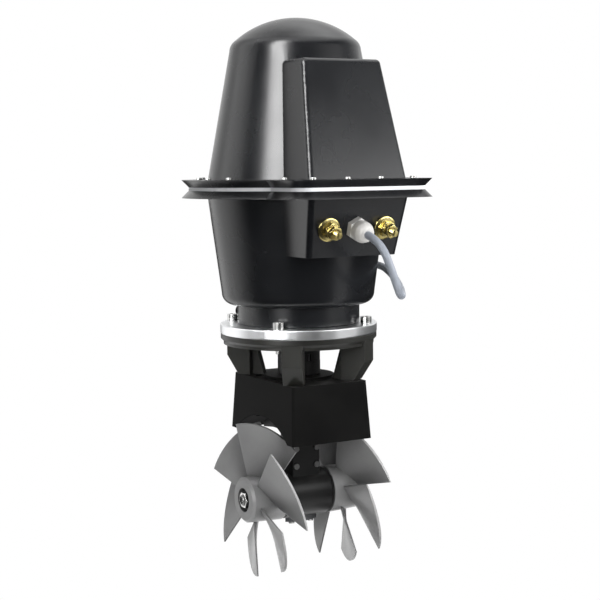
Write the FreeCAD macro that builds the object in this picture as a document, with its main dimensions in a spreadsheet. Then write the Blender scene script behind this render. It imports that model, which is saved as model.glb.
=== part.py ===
import FreeCAD, Part
import math
import os
import re
import Sketcher

# Electric bow thruster. Millimetres. X is the propeller axis (athwartships), -Y the side of the
# terminals, Z the drive leg's axis, upwards. The origin is where the leg's axis meets the propellers'.

V = FreeCAD.Vector
os.makedirs("parts", exist_ok=True)
doc = FreeCAD.newDocument("BowThruster")

SIZES = {
    # tunnel and propellers
    "tunnel_bore": 185,
    "tunnel_wall": 6,
    "tip_gap": 2,
    "blade_count": 6,
    "blade_sweep": 61,
    "blade_travel": 35,
    "blade_root_travel": 20,
    "blade_root_thickness": 5,
    "blade_tip_thickness": 3,
    "hub_radius": 27,
    "hub_length": 45,
    "hub_taper": 1.5,
    "hub_edge": 3,
    "hub_end_gap": 1.5,
    "recess_radius": 14.2,
    "recess_depth": 8,
    "left_phase": -14,
    "right_phase": -46.5,
    # gear case and drive leg
    "case_radius": 28,
    "case_half_length": 31,
    "case_edge": 2.5,
    "cavity_radius": 24.5,
    "stem_half_width": 23,
    "stem_half_depth": 15,
    "stem_flat": 18,
    "collar_half_width": 28,
    "collar_half_depth": 40,
    "collar_thickness": 6,
    "spigot_radius": 24,
    "leg_bore": 12.5,
    "leg_screw_x": 14,
    "leg_screw_low": 36,
    "leg_screw_rise": 21,
    "leg_screw_depth": 2.2,
    # bevel gears
    "pinion_teeth": 12,
    "crown_teeth": 25,
    "gear_module": 1.75,
    "gear_face": 8,
    "pressure_angle": 25,
    "backlash": 0.3,
    # shafts and bearings
    "shaft_radius": 7.5,
    "drive_radius": 8.5,
    "pinion_shaft_radius": 7,
    "thread_radius": 6,
    "shaft_end_stand": 3,
    "socket_across": 8,
    "socket_depth": 5,
    "washer_thickness": 2,
    "propeller_nut_across": 17,
    "propeller_nut_height": 7,
    "bearing_radius": 16,
    "bearing_width": 9,
    "drive_bearing_radius": 17.5,
    "drive_bearing_width": 10,
    "seal_width": 4.5,
    "pin_radius": 2.5,
    "pin_length": 34,
    "fit": 0.05,
    "clearance": 0.3,
    # anode
    "anode_length": 43,
    "anode_width": 14,
    "anode_height": 8,
    "anode_screw_spacing": 26,
    # mounting bracket
    "saddle_height": 142,
    "saddle_skirt": 74,
    "saddle_half_width": 53,
    "saddle_half_depth": 79,
    "saddle_draft": 0.065,
    "saddle_corner": 3,
    "window_height": 41.8,
    "bracket_radius": 93.2,
    "bracket_ring_height": 12.5,
    "bracket_ring_bore": 60,
    "bracket_ring_step": 3.4,
    "pillar_angle": 56,
    "pillar_width": 24,
    "pillar_depth": 31,
    "pillar_knee": 23,
    "pillar_foot": 77,
    "pillar_inset": 1,
    "gusset_width": 8,
    "gusset_top": 57.5,
    "gusset_foot": 46,
    "boss_radius": 41.5,
    "boss_height": 3.5,
    "saddle_hole_radius": 4.25,
    "saddle_hole_x": 38,
    "saddle_hole_y": 32,
    # mounting ring and neck
    "ring_radius": 93.6,
    "ring_height": 11.5,
    "ring_bolt_circle": 83,
    "ring_screw_radius": 4,
    "ring_head_radius": 6.5,
    "ring_head_height": 8,
    "neck_radius": 73,
    "neck_height": 23.2,
    "neck_wall": 8,
    "register_height": 8,
    # lower housing
    "wall": 3.5,
    "bucket_height": 126.5,
    "bucket_top_radius": 105.8,
    "bucket_foot_radius": 91,
    "bucket_corner": 13,
    "box_half_width": 64,
    "box_front": 144.5,
    "box_corner": 6,
    "lower_box_drop": 65,
    "lower_box_foot": 126.5,
    "lower_box_foot_half_width": 58,
    "flange_height": 8.5,
    "flange_lip": 128,
    "flange_flare": 8.5,
    "flange_front_lip": 13,
    "flange_side_lip": 21.5,
    "flange_corner": 20,
    "gasket_height": 4,
    # top cover
    "cover_base_radius": 106.8,
    "cover_wall_height": 158,
    "cover_shoulder_radius": 77.4,
    "cover_crease_radius": 70.5,
    "cover_crease_rise": 12,
    "shoulder_arc": 15,
    "cover_cap_rise": 26,
    "cover_box_height": 142,
    "cover_box_top_front": 108,
    "cover_box_top_half_width": 51,
    # flange screws
    "screw_radius": 2,
    "screw_head_radius": 3.6,
    "screw_head_height": 2.6,
    "screw_circle": 116,
    "screw_front_gap": 7.5,
    "screw_side_gap": 12,
    # terminals and cable gland
    "terminal_offset": 36,
    "terminal_drop": 33.5,
    "stud_radius": 4,
    "stud_length": 25,
    "thread_pitch_radius": 3.6,
    "stud_head_across": 13,
    "stud_head_height": 5,
    "centre_mark_radius": 1,
    "centre_mark_depth": 0.8,
    "terminal_flange_radius": 13.5,
    "terminal_flange_height": 3,
    "terminal_nut_across": 17,
    "terminal_nut_height": 7,
    "lock_nut_across": 14,
    "lock_nut_height": 6,
    "lock_washer_height": 1.5,
    "gland_across": 24,
    "gland_hex_height": 8,
    "gland_stem_radius": 8,
    "gland_stem_length": 8,
    "gland_dome_radius": 12,
    "gland_dome_height": 16,
    "cable_radius": 4.4,
    "plug_radius": 8.5,
    "plug_length": 32,
    # motor
    "motor_radius": 62,
    "yoke_wall": 6,
    "yoke_height": 116,
    "end_plate_height": 12,
    "magnet_thickness": 7,
    "magnet_height": 84,
    "air_gap": 0.8,
    "core_height": 70,
    "slot_count": 16,
    "commutator_radius": 20,
    "commutator_height": 16,
    "commutator_gap": 12,
    # shaft coupling
    "coupling_radius": 25.5,
    "coupling_jaw": 9,
    "coupling_foot": 4,
    "coupling_height": 42,
    "magnet_drop": 8,
    "magnet_half_angle": 34,
    "slot_depth": 9,
    "slot_half_width": 2,
    "winding_height": 9,
    "winding_inset": 4,
    "winding_depth": 22,
    "brush_length": 14,
    "brush_width": 8,
    "brush_margin": 3,
    "holder_height": 4,
    "holder_gap": 8,
    "shaft_foot_drop": 12,
    "jaw_half_angle": 24,
    "spider_arm_width": 2.6,
    "spider_arm_start": 2,
    "plug_step": 1,
    "plug_rim": 2.4,
    "plug_boot": 1.6,
}

sheet = doc.addObject("Spreadsheet::Sheet", "Sizes")
for row, (alias, number) in enumerate(SIZES.items(), 1):
    sheet.set(f"A{row}", alias)
    sheet.set(f"B{row}", str(number))
    sheet.setAlias(f"B{row}", alias)
doc.recompute()

# Heights above the propeller axis, each standing on the one below.
SADDLE_TOP = "saddle_height"
BRACKET_RING = f"({SADDLE_TOP} + window_height)"
BRACKET_TOP = f"({BRACKET_RING} + bracket_ring_height)"
RING_TOP = f"({BRACKET_TOP} + ring_height)"
BUCKET_FOOT = f"({RING_TOP} + neck_height)"
BUCKET_FLOOR = f"({BUCKET_FOOT} + wall)"
FLANGE_FOOT = f"({BUCKET_FOOT} + bucket_height)"
PARTING = f"({FLANGE_FOOT} + flange_height)"
COVER_FOOT = f"({PARTING} + gasket_height)"
COVER_FLANGE_TOP = f"({COVER_FOOT} + flange_height)"
MOTOR_FOOT = f"({BUCKET_FLOOR} + end_plate_height)"
MOTOR_TOP = f"({MOTOR_FOOT} + yoke_height)"
SADDLE_RADIUS = "(tunnel_bore / 2 + tunnel_wall)"
PROPELLER_RADIUS = "(tunnel_bore / 2 - tip_gap)"
HUB_INNER = "(case_half_length + hub_end_gap)"
HUB_OUTER = f"({HUB_INNER} + hub_length)"
LOWER_BOX_FOOT = f"({FLANGE_FOOT} - lower_box_drop)"
# The lower box's front face leans in towards its foot; everything on it stands square to it.
FACE_LEAN = "atan((box_front - lower_box_foot) / lower_box_drop)"
TERMINAL_HEIGHT = f"({FLANGE_FOOT} - terminal_drop)"
TERMINAL_FACE = "(-box_front + terminal_drop * (box_front - lower_box_foot) / lower_box_drop)"


def bound(text):
    """The expression with every size named as the sheet's cell."""
    return re.sub(r"[a-z][a-z_]+", lambda word: f"Sizes.{word[0]}" if word[0] in SIZES else word[0],
                  str(text))


def value(text):
    return float(sheet.evalExpression(bound(text)))


def place(item, spot=("0", "0", "0"), axis=None, turn="0"):
    if axis:
        item.Placement = FreeCAD.Placement(V(), FreeCAD.Rotation(V(*axis), value(turn)))
        item.setExpression("Placement.Rotation.Angle", bound(turn))
    for letter, text in zip("xyz", spot):
        if text != "0":
            item.setExpression(f"Placement.Base.{letter}", bound(text))
    return item


# ---- primitives and booleans -------------------------------------------------------------------

ALONG_X = {"axis": (0, 1, 0), "turn": "90"}
ALONG_FACE = {"axis": (1, 0, 0), "turn": f"90 deg + {FACE_LEAN}"}


def cylinder(name, radius, height, spot=("0", "0", "0"), **lie):
    item = doc.addObject("Part::Cylinder", name)
    item.setExpression("Radius", bound(radius))
    item.setExpression("Height", bound(height))
    return place(item, spot, **lie)


def hexagon(name, across, height, spot=("0", "0", "0"), **lie):
    item = doc.addObject("Part::Prism", name)
    item.Polygon = 6
    item.setExpression("Circumradius", bound(f"({across}) / sqrt(3)"))
    item.setExpression("Height", bound(height))
    return place(item, spot, **lie)


def fuse(name, items):
    item = doc.addObject("Part::MultiFuse", name)
    item.Shapes = items
    item.Refine = True
    return item


def group(name, items):
    item = doc.addObject("Part::Compound", name)
    item.Links = items
    return item


def cut(name, base, tools):
    item = doc.addObject("Part::Cut", name)
    item.Base = base
    item.Tool = tools[0] if len(tools) == 1 else group(name + "Tools", tools)
    return item


def ring(name, outer, inner, height, spot=("0", "0", "0"), **lie):
    return cut(name, cylinder(name + "Rim", outer, height, spot, **lie),
               [cylinder(name + "Bore", inner, height, spot, **lie)])


def link_to(name, source):
    """A link that is placed on top of its piece's own place."""
    link = doc.addObject("App::Link", name)
    link.LinkedObject = source
    link.LinkTransform = True
    return link


def copies(name, source, spots, **lie):
    """A group of links to one piece, one at each spot."""
    links = []
    for number, spot in enumerate(spots):
        links.append(place(link_to(f"{name}{number}", source), spot, **lie))
    return group(name, links)


# ---- sketches and the features made from them --------------------------------------------------

def new_body(name):
    return doc.addObject("PartDesign::Body", name)


def attach(body, name, plane, shift="0", turn=None):
    sketch = body.newObject("Sketcher::SketchObject", name)
    support = next(part for part in body.Origin.OriginFeatures if part.Role == plane + "_Plane")
    sketch.AttachmentSupport = [(support, "")]
    sketch.MapMode = "FlatFace"
    if turn is not None:
        sketch.AttachmentOffset = FreeCAD.Placement(V(), FreeCAD.Rotation(V(0, 1, 0), value(turn)))
        sketch.setExpression("AttachmentOffset.Rotation.Angle", bound(turn))
    if shift != "0":
        sketch.setExpression("AttachmentOffset.Base.z", bound(shift))
    return sketch


def pin_point(sketch, geometry, end, spot):
    """Ties one point of the sketch to the origin by its two expressions."""
    for kind, axis, text in (("DistanceX", -2, spot[0]), ("DistanceY", -1, spot[1])):
        if text == "0":
            sketch.addConstraint(Sketcher.Constraint("PointOnObject", geometry, end, axis))
        else:
            number = sketch.addConstraint(Sketcher.Constraint(kind, -1, 1, geometry, end, value(text)))
            sketch.setExpression(f"Constraints[{number}]", bound(text))


def arc_between(start, end, radius):
    """An arc from start to end, anticlockwise for a positive radius."""
    chord = end - start
    side = V(-chord.y, chord.x, 0).normalize() * (1 if radius > 0 else -1)
    reach = math.sqrt(max(radius ** 2 - (chord.Length / 2) ** 2, 0))
    centre = (start + end) / 2 + side * reach
    middle = centre - side * abs(radius)
    return Part.Arc(start, middle, end)


def outline(body, name, plane, points, shift="0", turn=None):
    """A closed outline; a third entry on a point is the radius of the arc to the next one."""
    sketch = attach(body, name, plane, shift, turn)
    spots = [V(value(point[0]), value(point[1]), 0) for point in points]
    ends = []
    for number, point in enumerate(points):
        start, finish = spots[number], spots[(number + 1) % len(spots)]
        if len(point) == 3:
            radius = value(point[2])
            sketch.addGeometry(arc_between(start, finish, radius), False)
            ends.append((1, 2) if radius > 0 else (2, 1))
            limit = sketch.addConstraint(Sketcher.Constraint("Radius", number, abs(radius)))
            sketch.setExpression(f"Constraints[{limit}]", bound(f"abs({point[2]})"))
        else:
            sketch.addGeometry(Part.LineSegment(start, finish), False)
            ends.append((1, 2))
    for number, point in enumerate(points):
        following = (number + 1) % len(points)
        sketch.addConstraint(
            Sketcher.Constraint("Coincident", number, ends[number][1], following, ends[following][0]))
        pin_point(sketch, number, ends[number][0], point)
    return sketch


def circles(body, name, plane, radius, spots, shift="0"):
    sketch = attach(body, name, plane, shift)
    for number, spot in enumerate(spots):
        centre = V(value(spot[0]), value(spot[1]), 0)
        sketch.addGeometry(Part.Circle(centre, V(0, 0, 1), value(radius)), False)
        pin_point(sketch, number, 3, spot)
        limit = sketch.addConstraint(Sketcher.Constraint("Radius", number, value(radius)))
        sketch.setExpression(f"Constraints[{limit}]", bound(radius))
    return sketch


def feature(body, kind, name, sketch, **settings):
    item = body.newObject("PartDesign::" + kind, name)
    item.Profile = (sketch, [""])
    for key, setting in settings.items():
        if isinstance(setting, str) and key != "Type":
            item.setExpression(key, bound(setting))
        else:
            setattr(item, key, setting)
    return item


def turned(body, name, points, kind="Revolution", axis="V_Axis"):
    sketch = outline(body, name + "Profile", "XZ", points)
    return feature(body, kind, name, sketch, ReferenceAxis=(sketch, [axis]), Angle=360)


def lofted(body, name, kind, sections):
    item = feature(body, kind, name, sections[0])
    item.Sections = [(section, [""]) for section in sections[1:]]
    item.Ruled = True
    return item


def round_edges(body, name, base, radius, test):
    """Fillets the edges of the base whose middle passes the test."""
    doc.recompute()
    names = [f"Edge{number}" for number, edge in enumerate(base.Shape.Edges, 1)
             if test(edge.valueAt((edge.FirstParameter + edge.LastParameter) / 2))]
    item = body.newObject("PartDesign::Fillet", name)
    item.Base = (base, names)
    item.setExpression("Radius", bound(radius))
    return item


PIECES = []


def keep(label, item):
    item.Label = label
    PIECES.append(item)
    return item


# ---- gears --------------------------------------------------------------------------------------

def bevel_teeth(teeth, other_teeth, facing):
    """Straight bevel teeth about +Z with the cone's apex at the origin, by Tredgold's rule: in the plane
    square to the pitch cone each tooth is that of a spur gear of the back cone's radius. Every flank
    runs straight to the apex. The first tooth points to the angle facing, in tooth spacings."""
    module = value("gear_module")
    pitch_angle = math.atan2(teeth, other_teeth)
    pitch_radius = module * teeth / 2
    cone_length = pitch_radius / math.sin(pitch_angle)
    spur_radius = pitch_radius / math.cos(pitch_angle)
    pressure = math.radians(value("pressure_angle"))
    base_radius = spur_radius * math.cos(pressure)
    half_pitch_angle = (math.pi * module / 2 - value("backlash")) / 2 / spur_radius

    def involute(angle):
        return math.tan(angle) - angle

    def flank(height):
        radius = max(spur_radius + height, base_radius)
        turn = half_pitch_angle + involute(pressure) - involute(math.acos(base_radius / radius))
        reach = spur_radius + height
        return (reach * math.cos(turn) - spur_radius, reach * math.sin(turn))

    heights = [module * share for share in (-1.5, -0.95, -0.5, 0, 0.5, 0.9)]
    right = [flank(height) for height in heights]
    profile = right + [(height, -side) for height, side in reversed(right)]
    outward = V(math.cos(pitch_angle), 0, -math.sin(pitch_angle))
    pitch_point = V(pitch_radius, 0, cone_length * math.cos(pitch_angle))

    def wire(scale):
        corners = [(pitch_point + outward * height + V(0, side, 0)) * scale for height, side in profile]
        return Part.makePolygon(corners + corners[:1])

    inner = 1 - value("gear_face") / cone_length
    tooth = Part.makeLoft([wire(inner - 0.04), wire(1.04)], True, True)
    depth = module * 1.2

    def cone_point(scale, height):
        spot = (pitch_point + outward * height) * scale
        return V(spot.x, 0, spot.z)

    def band(low, high, start, end):
        corners = [cone_point(start, low), cone_point(end, low), cone_point(end, high),
                   cone_point(start, high)]
        face = Part.Face(Part.makePolygon(corners + corners[:1]))
        return face.revolve(V(), V(0, 0, 1), 360)

    foot = cone_point(1, -depth)
    nose = cone_point(inner, -depth)
    core = Part.Face(Part.makePolygon([V(0, 0, nose.z), nose, foot, V(0, 0, foot.z), V(0, 0, nose.z)]))
    core = core.revolve(V(), V(0, 0, 1), 360)
    ring_of_teeth = []
    for number in range(teeth):
        copy = tooth.copy()
        copy.rotate(V(), V(0, 0, 1), (number + facing) * 360 / teeth)
        ring_of_teeth.append(copy)
    envelope = band(-depth * 1.1, module * 0.88, inner, 1)
    crown = envelope.common(Part.makeCompound(ring_of_teeth))
    return core.fuse(crown.Solids).removeSplitter(), foot


# ---- propellers ---------------------------------------------------------------------------------

def blade():
    """One blade about +Z, centred on x = 0: a sector of a helicoid between two radial edges, made of
    level sections, thinner and of longer pitch towards the tip, and trimmed to the tip's radius."""
    sweep = math.radians(value("blade_sweep"))
    tip = value(PROPELLER_RADIUS)
    root = value("hub_radius") * 0.55
    sections = []
    for share in (0, 0.3, 0.6, 0.85, 1.15):
        level = root + (tip - root) * share
        thickness = value("blade_root_thickness") * (1 - share) + value("blade_tip_thickness") * share
        travel = (value("blade_root_travel") * (1 - share) + value("blade_travel") * share) / sweep
        front, back = [], []
        for step in range(7):
            angle = sweep * (step / 6 - 0.5)
            side = level * math.tan(angle)
            slope = -travel * level / (level ** 2 + side ** 2)
            normal = V(1, -slope, 0).normalize()
            half = thickness / 2 * (1 - 0.55 * abs(step / 3 - 1) ** 3)
            middle = V(-travel * angle, side, level)
            front.append(middle + normal * half)
            back.append(middle - normal * half)
        curves = []
        for points in (front, back[::-1]):
            curve = Part.BSplineCurve()
            curve.interpolate(points)
            curves.append(curve.toShape())
        lead = Part.makeLine(front[-1], back[-1])
        trail = Part.makeLine(back[0], front[0])
        sections.append(Part.Wire([curves[0], lead, curves[1], trail]))
    solid = Part.makeLoft(sections, True, False)
    limit = Part.makeCylinder(tip, 200, V(-100, 0, 0), V(1, 0, 0))
    return solid.common(limit)


def propeller(label, side, phase):
    """A cast propeller on its hub; side is -1 for the one at -X."""
    body = new_body(label + "Hub")
    inner, outer = f"{side} * {HUB_INNER}", f"{side} * {HUB_OUTER}"
    edge = f"{side} * ({HUB_OUTER} - hub_edge)"
    recess = f"{side} * ({HUB_OUTER} - recess_depth)"
    turned(body, label + "Hub", [
        (inner, "shaft_radius + fit"),
        (inner, "hub_radius + hub_taper"),
        (edge, "hub_radius"),
        (outer, "hub_radius - hub_edge"),
        (outer, "recess_radius"),
        (recess, "recess_radius"),
        (recess, "shaft_radius + fit"),
    ], axis="H_Axis")
    sketch = circles(body, label + "PinHole", "XY", "pin_radius + fit",
                     [(f"{side} * ({HUB_INNER} + hub_length / 4)", "0")])
    feature(body, "Pocket", label + "PinHole", sketch, Midplane=True, Length="pin_length + 2 * fit")
    doc.recompute()
    blades = []
    middle = side * (value(HUB_INNER) + value("hub_length") / 2 + 1.5)
    for number in range(round(value("blade_count"))):
        copy = blade()
        copy.rotate(V(), V(1, 0, 0), -(value(phase) + number * 360 / round(value("blade_count"))))
        copy.translate(V(middle, 0, 0))
        blades.append(copy)
    inside = Part.makeCylinder(value("hub_radius") * 0.9, value("hub_length") * 2,
                               V(middle - value("hub_length"), 0, 0), V(1, 0, 0))
    blades = [copy.cut(inside) for copy in blades]
    item = doc.addObject("Part::Feature", label)
    item.Shape = body.Shape.fuse(blades)
    return keep(label, item)


propeller("propeller_left", -1, "left_phase")
propeller("propeller_right", 1, "right_phase")


# ---- propeller shaft ------------------------------------------------------------------------------

def propeller_shaft():
    body = new_body("PropellerShaft")
    thread = f"({HUB_OUTER} - recess_depth)"
    end = f"({HUB_OUTER} + shaft_end_stand)"
    turned(body, "ShaftBar", [
        (f"-{end}", "0"),
        (f"-{end}", "thread_radius - 1"),
        (f"-({end} - 1)", "thread_radius"),
        (f"-{thread}", "thread_radius"),
        (f"-{thread}", "shaft_radius"),
        (thread, "shaft_radius"),
        (thread, "thread_radius"),
        (f"{end} - 1", "thread_radius"),
        (end, "thread_radius - 1"),
        (end, "0"),
    ], axis="H_Axis")
    pins = [(f"{side} * ({HUB_INNER} + hub_length / 4)", "0") for side in (-1, 1)]
    sketch = circles(body, "ShaftPinHoles", "XY", "pin_radius + fit", pins)
    feature(body, "Pocket", "ShaftPinHoles", sketch, Midplane=True, Length="shaft_radius * 3")
    sockets = [hexagon("SocketLeft", "socket_across", "socket_depth", (f"-{end}", "0", "0"), **ALONG_X),
               hexagon("SocketRight", "socket_across", "socket_depth",
                       (f"{end} - socket_depth", "0", "0"), **ALONG_X)]
    keep("propeller_shaft", cut("PropellerShaftSocketed", body, sockets))
    pin = cylinder("ShearPin", "pin_radius", "pin_length")
    keep("shear_pins", copies("ShearPins", pin, [(x, "0", "-pin_length / 2") for x, y in pins]))


def shaft_ends():
    washers, nuts = [], []
    for name, side in (("Left", -1), ("Right", 1)):
        face = f"{side} * ({HUB_OUTER} - recess_depth)"
        nut = f"{side} * ({HUB_OUTER} - recess_depth + washer_thickness)"
        washer_foot = face if side > 0 else f"{face} - washer_thickness"
        washers.append(ring(name + "Washer", "recess_radius - 2 * clearance", "thread_radius + fit",
                            "washer_thickness", (washer_foot, "0", "0"), **ALONG_X))
        nut_foot = nut if side > 0 else f"{nut} - propeller_nut_height"
        blank = hexagon(name + "NutBlank", "propeller_nut_across", "propeller_nut_height",
                        (nut_foot, "0", "0"), **ALONG_X)
        bore = cylinder(name + "NutBore", "thread_radius + fit", "propeller_nut_height",
                        (nut_foot, "0", "0"), **ALONG_X)
        nuts.append(cut(name + "Nut", blank, [bore]))
    keep("propeller_washers", group("PropellerWashers", washers))
    keep("propeller_nuts", group("PropellerNuts", nuts))


def crown_gear():
    """The driven bevel gear, on the +X side of the leg's axis, with a space facing the pinion."""
    teeth = round(value("crown_teeth"))
    shape, foot = bevel_teeth(teeth, round(value("pinion_teeth")), 0.5)
    back = value("case_half_length - seal_width - bearing_width") - value("clearance")
    hub = Part.makeCylinder(foot.x - 1, back - foot.z, V(0, 0, foot.z))
    shape = shape.fuse(hub)
    shape = shape.cut(Part.makeCylinder(value("shaft_radius + fit"), 60, V(0, 0, -20)))
    # About +X, with the first space straight up.
    shape.rotate(V(), V(0, 1, 0), 90)
    shape.rotate(V(), V(1, 0, 0), 180)
    item = doc.addObject("Part::Feature", "CrownGear")
    item.Shape = shape.removeSplitter()
    keep("crown_gear", item)


propeller_shaft()
shaft_ends()
crown_gear()


# ---- drive leg ------------------------------------------------------------------------------------

def bearing(name, outer, inner, width, spot, **lie):
    """A sealed ball bearing: both rings and the recessed shields between them, as one piece."""
    middle = f"(({outer}) + ({inner})) / 2"
    third = f"(({outer}) - ({inner})) / 6"
    whole = ring(name + "Whole", outer, inner, width, spot, **lie)
    far = list(spot)
    letter = 0 if lie else 2
    far[letter] = f"{spot[letter]} + ({width}) - 0.6"
    grooves = [ring(f"{name}Shield{number}", f"{middle} + {third}", f"{middle} - {third}", "0.6", start,
                    **lie) for number, start in enumerate((spot, tuple(far)))]
    return cut(name, whole, grooves)


ANODE_SCREWS = [(f"{side} * anode_screw_spacing / 2", "0") for side in (-1, 1)]
LEG_SCREWS = [(f"{side} * leg_screw_x", f"leg_screw_low + {step} * leg_screw_rise")
              for side in (-1, 1) for step in (0, 1)]


def leg_housing():
    body = new_body("LegHousing")
    low = "-case_half_length"
    turned(body, "GearCase", [
        (low, "0"),
        (low, "case_radius - case_edge"),
        (f"{low} + case_edge", "case_radius"),
        ("case_half_length - case_edge", "case_radius"),
        ("case_half_length", "case_radius - case_edge"),
        ("case_half_length", "0"),
    ], axis="H_Axis")
    top = "(tunnel_bore / 2)"
    deep, flat = "stem_half_depth", "stem_flat"
    nose = "(stem_half_width - stem_flat)"
    bow = f"(({deep} ^ 2 + {nose} ^ 2) / 2 / {nose})"
    stem = outline(body, "StemOutline", "XY", [
        (f"-{flat}", deep, bow),
        (f"-{flat}", f"-{deep}"),
        (flat, f"-{deep}", bow),
        (flat, deep),
    ])
    feature(body, "Pad", "Stem", stem, Length=f"{top} - collar_thickness / 2")
    collar = outline(body, "CollarOutline", "YZ", [
        ("-collar_half_depth", f"sqrt({top} ^ 2 - collar_half_depth ^ 2)", f"-{top}"),
        ("collar_half_depth", f"sqrt({top} ^ 2 - collar_half_depth ^ 2)"),
        ("collar_half_depth", f"sqrt({top} ^ 2 - collar_half_depth ^ 2) - collar_thickness"),
        ("stem_half_depth", f"{top} - collar_thickness * 2"),
        ("-stem_half_depth", f"{top} - collar_thickness * 2"),
        ("-collar_half_depth", f"sqrt({top} ^ 2 - collar_half_depth ^ 2) - collar_thickness"),
    ])
    feature(body, "Pad", "Collar", collar, Midplane=True, Length="2 * collar_half_width")
    foot = f"({top} - collar_thickness * 2)"
    spigot = circles(body, "SpigotOutline", "XY", "spigot_radius", [("0", "0")], foot)
    feature(body, "Pad", "Spigot", spigot, Length=f"{SADDLE_TOP} - {foot}")
    seat = "case_half_length - seal_width - bearing_width"
    turned(body, "CaseBore", [
        (f"-({seat})", "0"),
        (f"-({seat})", "cavity_radius"),
        ("case_half_length", "cavity_radius"),
        ("case_half_length", "0"),
    ], "Groove", "H_Axis")
    turned(body, "BearingBore", [
        (low, "0"),
        (low, "bearing_radius + fit"),
        (f"-({seat})", "bearing_radius + fit"),
        (f"-({seat})", "0"),
    ], "Groove", "H_Axis")
    turned(body, "LegBore", [
        ("0", "5"),
        ("leg_bore - 2", "5"),
        ("leg_bore - 2", "case_radius + 8"),
        ("leg_bore", "case_radius + 8"),
        ("leg_bore", f"{SADDLE_TOP} - drive_bearing_width - 2"),
        ("drive_bearing_radius + fit", f"{SADDLE_TOP} - drive_bearing_width - 2"),
        ("drive_bearing_radius + fit", f"{SADDLE_TOP}"),
        ("0", f"{SADDLE_TOP}"),
    ], "Groove")
    taps = circles(body, "AnodeTaps", "XY", "screw_radius + fit", ANODE_SCREWS, "-case_radius - 1")
    feature(body, "Pocket", "AnodeTaps", taps, Reversed=True, Length="1 + leg_screw_depth + clearance")
    for name, start, back in (("Front", "stem_half_depth", True), ("Back", "-stem_half_depth", False)):
        taps = circles(body, f"LegTaps{name}", "XZ", "screw_radius + fit", LEG_SCREWS, start)
        feature(body, "Pocket", f"LegTaps{name}", taps, Reversed=not back,
                Length="leg_screw_depth + clearance")
    keep("leg_housing", body)


leg_housing()


def leg_fittings():
    seat = "(case_half_length - seal_width - bearing_width)"
    carrier = new_body("BearingCarrier")
    turned(carrier, "Carrier", [
        (f"{seat}", "bearing_radius + fit"),
        (f"{seat}", "cavity_radius - fit"),
        ("case_half_length", "cavity_radius - fit"),
        ("case_half_length", "bearing_radius + fit"),
    ], axis="H_Axis")
    keep("bearing_carrier", carrier)
    starts = (f"-{seat} - bearing_width", seat)
    keep("shaft_bearings", group("ShaftBearings", [
        bearing(f"ShaftBearing{number}", "bearing_radius", "shaft_radius + fit", "bearing_width",
                (start, "0", "0"), **ALONG_X) for number, start in enumerate(starts)]))
    starts = ("-case_half_length", f"{seat} + bearing_width")
    keep("shaft_seals", group("ShaftSeals", [
        ring(f"ShaftSeal{number}", "bearing_radius", "shaft_radius + fit", "seal_width",
             (start, "0", "0"), **ALONG_X) for number, start in enumerate(starts)]))
    keep("pinion_bearing", bearing("PinionBearing", "leg_bore - fit", "pinion_shaft_radius + fit",
                                   "bearing_width", ("0", "0", "case_radius + 8")))
    keep("drive_shaft_bearing", bearing(
        "DriveShaftBearing", "drive_bearing_radius", "pinion_shaft_radius + fit", "drive_bearing_width",
        ("0", "0", f"{SADDLE_TOP} - drive_bearing_width - 2")))


def leg_screws():
    """Four screws on each flat of the leg; each lies along its own face's normal."""
    screw = fuse("LegScrew", [
        cylinder("LegScrewHead", "screw_head_radius", "screw_head_height"),
        cylinder("LegScrewShank", "screw_radius", "leg_screw_depth", ("0", "0", "-leg_screw_depth"))])
    rows = [copies(f"LegScrews{side}", screw, [(x, f"{side} * stem_half_depth", z) for x, z in LEG_SCREWS],
                   axis=(1, 0, 0), turn=f"{-90 * side}") for side in (-1, 1)]
    keep("leg_screws", group("LegScrews", rows))


def anode():
    body = new_body("Anode")
    half, wide = "anode_length / 2", "anode_width / 2"
    bow = "(anode_length ^ 2 / 4 / anode_width + anode_width / 4)"
    sketch = outline(body, "AnodeOutline", "XY", [
        (f"-{half}", "0", bow),
        (half, "0", bow),
    ], "-case_radius - anode_height + 2")
    feature(body, "Pad", "AnodeBar", sketch, Length="anode_height")
    hollow = circles(body, "AnodeSeat", "YZ", "case_radius", [("0", "0")])
    feature(body, "Pocket", "AnodeSeat", hollow, Midplane=True, Length="anode_length * 2")
    holes = circles(body, "AnodeHoles", "XY", "screw_radius + clearance", ANODE_SCREWS)
    feature(body, "Pocket", "AnodeHoles", holes, Midplane=True, Length="case_radius * 4")
    keep("anode", body)
    foot = "-case_radius - anode_height + 2"
    screw = fuse("AnodeScrew", [
        cylinder("AnodeScrewHead", "screw_head_radius", "screw_head_height",
                 ("0", "0", "-screw_head_height")),
        cylinder("AnodeScrewShank", "screw_radius", "anode_height - 2 + leg_screw_depth")])
    keep("anode_screws", copies("AnodeScrews", screw, [(x, y, foot) for x, y in ANODE_SCREWS]))


leg_fittings()
leg_screws()
anode()


# ---- mounting bracket -----------------------------------------------------------------------------

DIAGONALS = [(f"ring_bolt_circle * cos({angle})", f"ring_bolt_circle * sin({angle})")
             for angle in (45, 135, 225, 315)]


def saddle_outline(body, name, width, depth, height):
    corner = "saddle_corner"
    return outline(body, name, "XY", [
        (f"-({width})", f"{depth} - {corner}"),
        (f"-({width})", f"{corner} - ({depth})", corner),
        (f"{corner} - ({width})", f"-({depth})"),
        (f"{width} - {corner}", f"-({depth})", corner),
        (width, f"{corner} - ({depth})"),
        (width, f"{depth} - {corner}", corner),
        (f"{width} - {corner}", depth),
        (f"{corner} - ({width})", depth, corner),
    ], height)


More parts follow.
